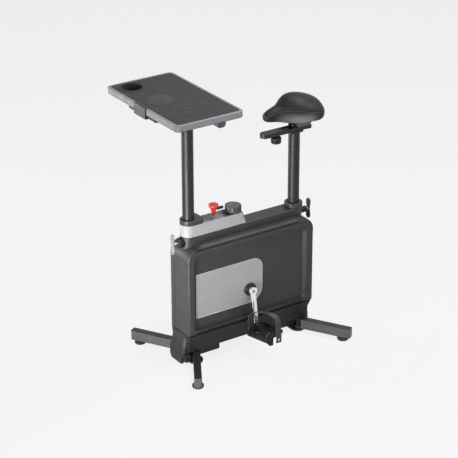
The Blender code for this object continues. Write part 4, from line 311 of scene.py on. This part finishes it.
def dress_nodes():
    """Each CAD node's material, its eased edges and even normals on its flat faces."""
    for name, obj in NODES.items():
        paint(obj, FINISH_OF_NODE.get(name, MATERIAL_OF_SLOT[SLOT_OF_NODE[name]]))
        weld = obj.modifiers.new("weld", "WELD")
        weld.merge_threshold = 0.000005
        ease = obj.modifiers.new("eased_edges", "BEVEL")
        ease.width = EDGE_EASE.get(name, PLAIN_EASE)
        ease.segments = 2
        ease.limit_method = "ANGLE"
        ease.angle_limit = math.radians(40)
        obj.data.shade_smooth()
        even = obj.modifiers.new("even_normals", "WEIGHTED_NORMAL")
        even.mode = "FACE_AREA"
        even.weight = 50


dress_nodes()


# Pieces that the rigid nodes lack

def new_piece(name, mesh, material, body):
    """A piece of the object: its mesh or curve, its material and the body that it rides on."""
    obj = bpy.data.objects.new(name, mesh)
    bpy.context.scene.collection.objects.link(obj)
    mesh.materials.append(MATERIALS[material])
    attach(obj, body)
    return obj


def mesh_of(name, bm):
    """A smooth mesh with sharp edges, from a bmesh that is then freed."""
    bmesh.ops.remove_doubles(bm, verts=bm.verts, dist=1e-6)
    bmesh.ops.recalc_face_normals(bm, faces=bm.faces)
    mesh = bpy.data.meshes.new(name)
    bm.to_mesh(mesh)
    bm.free()
    mesh.shade_smooth()
    mesh.set_sharp_from_angle(angle=math.radians(40))
    return mesh


TURN_TO_AXIS = {"Z": Matrix.Identity(3), "-Y": Matrix(((1, 0, 0), (0, 0, -1), (0, 1, 0))),
                "Y": Matrix(((1, 0, 0), (0, 0, 1), (0, -1, 0)))}


def turned(bm, profile, centre, axis="Z", steps=40):
    """A closed profile of (radius, height) points turned about an axis."""
    turn = TURN_TO_AXIS[axis]
    rings = []
    for k in range(steps):
        angle = 2 * math.pi * k / steps
        across, along = math.cos(angle), math.sin(angle)
        rings.append([bm.verts.new(Vector(centre) + turn @ Vector((r * across, r * along, h)))
                      for r, h in profile])
    for first, second in zip(rings, rings[1:] + rings[:1]):
        for i in range(len(profile) - 1):
            bm.faces.new((first[i], second[i], second[i + 1], first[i + 1]))


def bar(bm, low, high, place=None):
    """A small block from its lowest to its highest corner, turned by a matrix."""
    low, high = Vector(low), Vector(high)
    matrix = Matrix.Translation((low + high) / 2) @ Matrix.Diagonal((*(high - low), 1))
    if place is not None:
        matrix = place @ matrix
    bmesh.ops.create_cube(bm, size=1, matrix=matrix)


def bead(name, points, radius, material, body, closed=True):
    """A round bead that follows a line of points."""
    curve = bpy.data.curves.new(name, "CURVE")
    curve.dimensions = "3D"
    curve.bevel_depth = radius
    curve.bevel_resolution = 2
    spline = curve.splines.new("POLY")
    spline.points.add(len(points) - 1)
    for target, point in zip(spline.points, points):
        target.co = (*point, 1)
    spline.use_cyclic_u = closed
    return new_piece(name, curve, material, body)


def round_corners(corners, steps=8):
    """An outline through (x, y, radius) corners of a rectangle, each rounded with an arc."""
    points = []
    count = len(corners)
    for i, (x, y, r) in enumerate(corners):
        here = Vector((x, y))
        before = (Vector(corners[i - 1][:2]) - here).normalized() * r
        after = (Vector(corners[(i + 1) % count][:2]) - here).normalized() * r
        centre = here + before + after
        for k in range(steps + 1):
            turn = math.pi / 2 * k / steps
            point = centre - after * math.cos(turn) - before * math.sin(turn)
            points.append((point.x, point.y))
    return points


DIAL_MARKS = 11
DIAL_LONG_MARK = 5
DIAL_SWEEP = math.radians(270)
DIAL_START = math.radians(225)
DIAL_POINTER = math.radians(135)


def dial_face():
    """A satin disc in the dial's dish, with a raised ring of marks, a pointer and a small cap."""
    low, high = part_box("dial_knob")
    x, y, z = (low.x + high.x) / 2, (low.y + high.y) / 2, high.z - 0.001
    bm = bmesh.new()
    turned(bm, [(0, 0.0007), (0.0060, 0.0007), (0.0215, 0.0003), (0.0255, 0.0003), (0.0262, 0.0), (0, 0.0)],
           (x, y, z), steps=48)
    new_piece("dial_face", mesh_of("dial_face", bm), "dial_face", "dial")
    bm = bmesh.new()
    for i in range(DIAL_MARKS):
        angle = DIAL_START - DIAL_SWEEP * i / (DIAL_MARKS - 1)
        place = Matrix.Translation((x, y, z)) @ Matrix.Rotation(angle, 4, "Z")
        long = 0.0045 if i % DIAL_LONG_MARK == 0 else 0.003
        bar(bm, (0.0225 - long, -0.0005, 0.0002), (0.0225, 0.0005, 0.0006), place)
    place = Matrix.Translation((x, y, z)) @ Matrix.Rotation(DIAL_POINTER, 4, "Z")
    bar(bm, (0.004, -0.0011, 0.0005), (0.0155, 0.0011, 0.0009), place)
    turned(bm, [(0.0238, 0.0), (0.0238, 0.0005), (0.0246, 0.0005), (0.0246, 0.0)], (x, y, z), steps=48)
    new_piece("dial_marks", mesh_of("dial_marks", bm), "dial_marks", "dial")


# Console screws, behind the desk post, and their height and radius
CONSOLE_SCREWS = {"front_console_screw": 0.0996, "rear_console_screw": 0.1095}
CONSOLE_FLOOR = 0.6251
SCREW_RADIUS = 0.0034


def screw_head(name, x, y, z, radius, body):
    """A low round screw head with a black cross that stands as painted shade in its cross recess."""
    bm = bmesh.new()
    turned(bm, [(0, 0.0), (radius, 0.0), (radius, 0.0006), (radius * 0.75, 0.0013), (0, 0.0016)], (x, y, z),
           steps=24)
    new_piece(name, mesh_of(name, bm), "steel", body)
    # Painted shade: a black cross stands for the shade in the screw's recess
    bm = bmesh.new()
    for turn in (0, math.pi / 2):
        place = Matrix.Translation((x, y, z)) @ Matrix.Rotation(turn + 0.6, 4, "Z")
        bar(bm, (-radius * 0.6, -radius * 0.13, 0.0008), (radius * 0.6, radius * 0.13, 0.00175), place)
    new_piece(name + "_recess_shade", mesh_of(name + "_recess_shade", bm), "black", body)


def crank_bolts():
    """The bolt in each crank hub: a bright ring round a black hexagon that stands as painted shade in its
    socket.
    """
    for name, sign, axis in (("left", -1, "-Y"), ("right", 1, "Y")):
        low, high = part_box("crank_spindle")
        end = low.y if sign < 0 else high.y
        centre = (CRANK.x, end, CRANK.z)
        bm = bmesh.new()
        turned(bm, [(0.0044, 0.0002), (0.0044, 0.0022), (0.0050, 0.0026), (0.0078, 0.0026), (0.0083, 0.0021),
                    (0.0083, 0.0002), (0.0044, 0.0002)], centre, axis, 32)
        new_piece(f"{name}_crank_bolt", mesh_of("crank_bolt", bm), "steel", "crank")
        # Painted shade: a black hexagon stands for the shade in the bolt's socket
        bm = bmesh.new()
        turned(bm, [(0, 0.0002), (0.0043, 0.0002), (0.0043, 0.0008), (0, 0.0008)], centre, axis, 6)
        new_piece(f"{name}_crank_socket_shade", mesh_of("crank_socket_shade", bm), "black", "crank")


def panel_rims():
    """A thin bright metal bead round each silver side panel as a painted highlight on its edge, and a dark bead
    round its back as a painted shadow line.
    """
    for name, sign in (("left", -1), ("right", 1)):
        low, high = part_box(f"{name}_trim_panel")
        face = low.y if sign < 0 else high.y
        floor = high.y if sign < 0 else low.y
        # The bright bead is a painted highlight on the panel's edge; the dark bead is a painted shadow line
        # round the panel
        for tag, out, y, radius, material in (("rim", -0.0006, face, 0.0006, "highlight_rim"),
                                              ("shadow_line", 0.0004, floor + sign * 0.0004, 0.0009, "black")):
            x0, x1, z0, z1 = low.x - out, high.x + out, low.z - out, high.z + out
            outline = round_corners([(x0, z0, 0.003 + out), (x1, z0, 0.0655 + out), (x1, z1, 0.046 + out),
                                     (x0, z1, 0.003 + out)], 10)
            bead(f"{name}_panel_{tag}", [(x, y, z) for x, z in outline], radius, material, "housing")


PAD_CENTRE = (-0.342, 0.0115)


def pad_outline():
    """The faint round pad let into the desk mat."""
    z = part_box("desk_mat")[1].z
    bm = bmesh.new()
    turned(bm, [(0, 0.0), (0, 0.00018), (0.0545, 0.00018), (0.0552, 0.0), (0, 0.0)], (*PAD_CENTRE, z),
           steps=72)
    new_piece("mat_pad", mesh_of("mat_pad", bm), "mat_pad", "desk")


# Shoulder's section from the spine's wall outwards, as how far out and how high above the lip
SHOULDER_SECTION = ((0.0, 0.0105), (0.009, 0.0098), (0.018, 0.0078), (0.026, 0.0048), (0.0325, 0.0014),
                    (0.0345, 0.0))
SHOULDER_FADE = 0.03
LIP_HEIGHT = 0.5452


def spine_shoulders():
    """The low crowned shoulder on each side that eases the spine down to the housing's lip."""
    wall, lip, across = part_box("console_cover")[1].y + 0.0002, LIP_HEIGHT, SHOULDER_SECTION
    start, end = DESK_X - 0.004, SEAT_X + 0.004
    steps = 48
    for name, sign in (("left", -1), ("right", 1)):
        bm = bmesh.new()
        rows = []
        for k in range(steps + 1):
            x = start + (end - start) * k / steps
            near = min(1.0, min(x - start, end - x) / SHOULDER_FADE)
            share = 0.04 + 0.96 * near * near * (3 - 2 * near)
            row = [bm.verts.new((x, sign * (wall + out), lip + share * rise)) for out, rise in across]
            row += [bm.verts.new((x, sign * (wall + across[-1][0]), lip - 0.0004)),
                    bm.verts.new((x, sign * wall, lip - 0.0004))]
            rows.append(row)
        count = len(rows[0])
        for first, second in zip(rows, rows[1:]):
            for i in range(count):
                j = (i + 1) % count
                bm.faces.new((first[i], first[j], second[j], second[i]))
        bm.faces.new(rows[0])
        bm.faces.new(rows[-1])
        new_piece(f"{name}_spine_shoulder", mesh_of(f"{name}_spine_shoulder", bm), "housing", "housing")


CRANK_LENGTH = 0.165
CRANK_LEAN = math.radians(4.5)


def pedal_studs():
    """Rows of small grip studs along both treads of each pedal."""
    for name, sign in (("left", -1), ("right", 1)):
        low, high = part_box(f"{name}_pedal")
        inner = high.y if sign < 0 else low.y
        axle_x = CRANK.x + (CRANK_LENGTH * math.sin(CRANK_LEAN)) * (-sign)
        bm = bmesh.new()
        for i in range(7):
            out = 0.014 + 0.012 * i
            for x in (axle_x - 0.005, axle_x + 0.006):
                centre = (x, inner + sign * out, high.z - 0.0002)
                turned(bm, [(0, 0.0012), (0.0010, 0.0012), (0.0017, 0.0), (0, 0.0)], centre, "Z", 8)
        new_piece(f"{name}_pedal_studs", mesh_of(f"{name}_pedal_studs", bm), "black", f"{name}_pedal_set")


# Saddle: stations from nose to tail (behind the post, half width, bottom, edge line, top), half a ring's shares
SADDLE_STATIONS = (
    (-0.1600, 0.012, 1.014, 1.028, 1.0375), (-0.1550, 0.0185, 1.009, 1.033, 1.0470),
    (-0.1300, 0.0255, 1.005, 1.041, 1.0565), (-0.1050, 0.0290, 1.000, 1.045, 1.0615),
    (-0.0880, 0.0340, 0.997, 1.047, 1.0640), (-0.0770, 0.0400, 0.994, 1.049, 1.0720),
    (-0.0640, 0.0480, 0.991, 1.050, 1.0930), (-0.0480, 0.0580, 0.989, 1.050, 1.1030),
    (-0.0250, 0.0750, 0.987, 1.049, 1.1080), (0.0100, 0.0910, 0.985, 1.043, 1.1050),
    (0.0500, 0.0985, 0.985, 1.035, 1.0945), (0.0850, 0.0945, 0.985, 1.029, 1.0800),
    (0.1080, 0.0720, 0.986, 1.026, 1.0650), (0.1210, 0.0480, 0.990, 1.022, 1.0470),
)
SADDLE_RING = ((0.55, 1.0, 0.0), (0.90, 0.92, 0.0), (1.01, 0.42, 0.0), (1.03, 0.0, 0.02), (0.90, 0.0, 0.32),
               (0.62, 0.0, 0.68), (0.28, 0.0, 0.98))
SADDLE_SWELL = 0.003
PAN_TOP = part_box("saddle_base")[1].z


def settled_mesh(obj, name):
    """The object's mesh with its modifiers applied."""
    bpy.context.view_layer.update()
    graph = bpy.context.evaluated_depsgraph_get()
    mesh = bpy.data.meshes.new_from_object(obj.evaluated_get(graph))
    mesh.name = name
    return mesh


def saddle_form():
    """The saddle's form before it is padded: a loft through its stations."""
    bm = bmesh.new()
    rings = []
    for behind, half, low, edge, top in SADDLE_STATIONS:
        shape = [(share * half, edge - below * (edge - low) + above * (top - edge))
                 for share, below, above in SADDLE_RING]
        shape += [(-y, z) for y, z in reversed(shape)]
        rings.append([bm.verts.new((SEAT_X + behind, y, z)) for y, z in shape])
    count = len(rings[0])
    for first, second in zip(rings, rings[1:]):
        for i in range(count):
            j = (i + 1) % count
            bm.faces.new((first[i], first[j], second[j], second[i]))
    bm.faces.new(rings[0])
    bm.faces.new(rings[-1])
    return mesh_of("saddle_form", bm)


def puffed(obj, swell):
    """Cloth under pressure for twenty frames, with each point's move capped, then applied."""
    scene = bpy.context.scene
    start = [vertex.co.copy() for vertex in obj.data.vertices]
    cloth = obj.modifiers.new("puff", "CLOTH")
    cloth.settings.use_pressure = True
    cloth.settings.uniform_pressure_force = 4.0
    cloth.settings.effector_weights.gravity = 0.0
    cloth.point_cache.frame_start = 1
    cloth.point_cache.frame_end = 20
    for step in range(1, 21):
        scene.frame_set(step)
    swollen = settled_mesh(obj, "swollen")
    ends = [vertex.co.copy() for vertex in swollen.vertices]
    obj.modifiers.remove(cloth)
    scene.frame_set(1)
    bpy.data.meshes.remove(swollen)
    for vertex, first, last in zip(obj.data.vertices, start, ends):
        move = last - first
        if move.length > swell:
            move = move.normalized() * swell
        vertex.co = first + move


def saddle():
    """The padded saddle: leathercloth blown up over its form, flat on the pan, with a piped seam."""
    form = bpy.data.objects.new("saddle_padding", saddle_form())
    bpy.context.scene.collection.objects.link(form)
    smooth = form.modifiers.new("smooth", "SUBSURF")
    smooth.levels = 2
    smooth.render_levels = 2
    remesh = form.modifiers.new("voxels", "REMESH")
    remesh.mode = "VOXEL"
    remesh.voxel_size = 0.005
    mesh = settled_mesh(form, "saddle_padding")
    form.modifiers.clear()
    form.data = mesh
    puffed(form, SADDLE_SWELL)
    relax = form.modifiers.new("relax", "SMOOTH")
    relax.factor = 0.5
    relax.iterations = 3
    finer = form.modifiers.new("finer", "SUBSURF")
    finer.levels = 1
    finer.render_levels = 1
    mesh = settled_mesh(form, "saddle_padding")
    form.modifiers.clear()
    form.data = mesh
    for vertex in mesh.vertices:
        vertex.co.z = max(vertex.co.z, PAN_TOP + 0.0004)
    mesh.materials.clear()
    mesh.materials.append(MATERIALS["saddle"])
    mesh.shade_smooth()
    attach(form, "saddle")
    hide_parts("saddle_cushion")
    edge_piping(form)


def edge_piping(form):
    """A fine piping that lies on the padding along its widest line."""
    surface = BVHTree.FromObject(form, bpy.context.evaluated_depsgraph_get())
    near = []
    for first, second in zip(SADDLE_STATIONS, SADDLE_STATIONS[1:]):
        for k in range(6):
            share = k / 6
            near.append([a + (b - a) * share for a, b in zip(first, second)])
    near.append(list(SADDLE_STATIONS[-1]))
    right = [(SEAT_X + s[0], 1.03 * s[1], s[3]) for s in near]
    left = [(x, -y, z) for x, y, z in reversed(right)]
    points = []
    for point in right + left:
        spot, _, _, _ = surface.find_nearest(Vector(point))
        points.append(spot)
    for _ in range(4):
        following = points[1:] + points[:1]
        points = [(points[i - 1] + points[i] * 2 + following[i]) / 4 for i in range(len(points))]
    bead("saddle_piping", [tuple(point) for point in points], 0.0011, "seam", "saddle")


dial_face()
for screw, behind_post in CONSOLE_SCREWS.items():
    screw_head(screw, DESK_X + behind_post, 0, CONSOLE_FLOOR, SCREW_RADIUS, "housing")
crank_bolts()
panel_rims()
pad_outline()
spine_shoulders()
pedal_studs()
saddle()


# Room, light and camera

FLOOR_GLOW = 0.825
WORLD_LIGHT = 0.28
WORLD_GLOW = 0.607


def pale_floor():
    """A large pale floor that keeps the object's shadow and looks pale to camera, glossy and glass rays."""
    mesh = bpy.data.meshes.new("floor")
    reach = 30.0
    mesh.from_pydata([(-reach, -reach, 0), (reach, -reach, 0), (reach, reach, 0), (-reach, reach, 0)], [],
                     [(0, 1, 2, 3)])
    floor = bpy.data.objects.new("floor", mesh)
    bpy.context.scene.collection.objects.link(floor)
    material, tree, shader = new_material("floor_paper")
    shader.inputs["Base Color"].default_value = (0.08, 0.08, 0.08, 1)
    shader.inputs["Roughness"].default_value = 1.0
    shader.inputs["Specular IOR Level"].default_value = 0.0
    shader.inputs["Emission Color"].default_value = (1, 1, 1, 1)
    tree.links.new(seen_directly(tree, FLOOR_GLOW), shader.inputs["Emission Strength"])
    mesh.materials.append(material)


def seen_directly(tree, strength):
    """A strength for camera, glossy and transmission rays only."""
    path = tree.nodes.new("ShaderNodeLightPath")
    total = None
    for name in ("Is Camera Ray", "Is Glossy Ray", "Is Transmission Ray"):
        if total is None:
            total = path.outputs[name]
            continue
        add = add_node(tree, "ShaderNodeMath", operation="MAXIMUM")
        tree.links.new(total, add.inputs[0])
        tree.links.new(path.outputs[name], add.inputs[1])
        total = add.outputs[0]
    scale = add_node(tree, "ShaderNodeMath", operation="MULTIPLY")
    tree.links.new(total, scale.inputs[0])
    scale.inputs[1].default_value = strength
    return scale.outputs[0]


def pale_world():
    """An even pale world: soft light for the object, and a paler backdrop where it is seen directly."""
    world = bpy.data.worlds.new("studio")
    bpy.context.scene.world = world
    world.use_nodes = True
    tree = world.node_tree
    background = tree.nodes["Background"]
    background.inputs["Color"].default_value = (1, 1, 1, 1)
    direct = seen_directly(tree, WORLD_GLOW)
    add = add_node(tree, "ShaderNodeMath", operation="ADD")
    tree.links.new(direct, add.inputs[0])
    add.inputs[1].default_value = WORLD_LIGHT
    tree.links.new(add.outputs[0], background.inputs["Strength"])


def softbox(name, place, aim, size, watts, spread_angle=180):
    """A rectangular lamp that points at a place and isn't seen by the camera."""
    lamp = bpy.data.lights.new(name, "AREA")
    lamp.shape = "RECTANGLE"
    lamp.size, lamp.size_y = size
    lamp.energy = watts
    lamp.spread = math.radians(spread_angle)
    obj = bpy.data.objects.new(name, lamp)
    bpy.context.scene.collection.objects.link(obj)
    obj.visible_camera = False
    obj.location = place
    obj.rotation_mode = "QUATERNION"
    obj.rotation_quaternion = (Vector(aim) - Vector(place)).to_track_quat("-Z", "Y")


def studio_lights():
    centre = Vector((0, 0, 0.7))
    softbox("key_light", (-3.9, -0.6, 1.3), centre, (1.2, 2.4), 72)
    softbox("strip_light", (-1.36, -0.66, 0.34), (DESK_X, 0, 0.55), (0.48, 0.62), 5.2, 62)
    softbox("side_light", (-0.6, -4.2, 1.9), centre, (3.0, 2.4), 56)
    softbox("low_light", (-1.8, -2.4, 0.15), centre, (1.6, 0.8), 12)
    softbox("left_light", (-1.9, 2.6, 0.6), (0, 0, 0.5), (1.0, 1.0), 40)
    softbox("top_light", (1.2, -0.8, 3.6), centre, (2.0, 2.0), 100)


def camera():
    """A camera at the photograph's viewing angle."""
    turn, tilt = math.radians(CAMERA_TURN), math.radians(CAMERA_TILT)
    back = Vector((math.sin(turn) * math.cos(tilt), -math.cos(turn) * math.cos(tilt), math.sin(tilt)))
    right = Vector((math.cos(turn), math.sin(turn), 0))
    up = back.cross(right)
    right, up = (right * math.cos(CAMERA_ROLL) + up * math.sin(CAMERA_ROLL),
                 up * math.cos(CAMERA_ROLL) - right * math.sin(CAMERA_ROLL))
    target = Vector(((DESK_X + SEAT_X) / 2, 0, TARGET_HEIGHT))
    scale = CAMERA_DISTANCE / CAMERA_FOCAL_PIXELS
    across = (TARGET_PIXEL[0] - IMAGE_SIZE / 2) * scale
    down = (TARGET_PIXEL[1] - IMAGE_SIZE / 2) * scale
    data = bpy.data.cameras.new("camera")
    data.lens = CAMERA_FOCAL_PIXELS / IMAGE_SIZE * SENSOR
    data.sensor_width = SENSOR
    obj = bpy.data.objects.new("camera", data)
    bpy.context.scene.collection.objects.link(obj)
    axes = Matrix((right, up, back)).transposed().to_4x4()
    obj.matrix_world = Matrix.Translation(target + back * CAMERA_DISTANCE - right * across + up * down) @ axes
    bpy.context.scene.camera = obj


pale_floor()
pale_world()
studio_lights()
camera()
bpy.context.scene.view_settings.view_transform = "Standard"
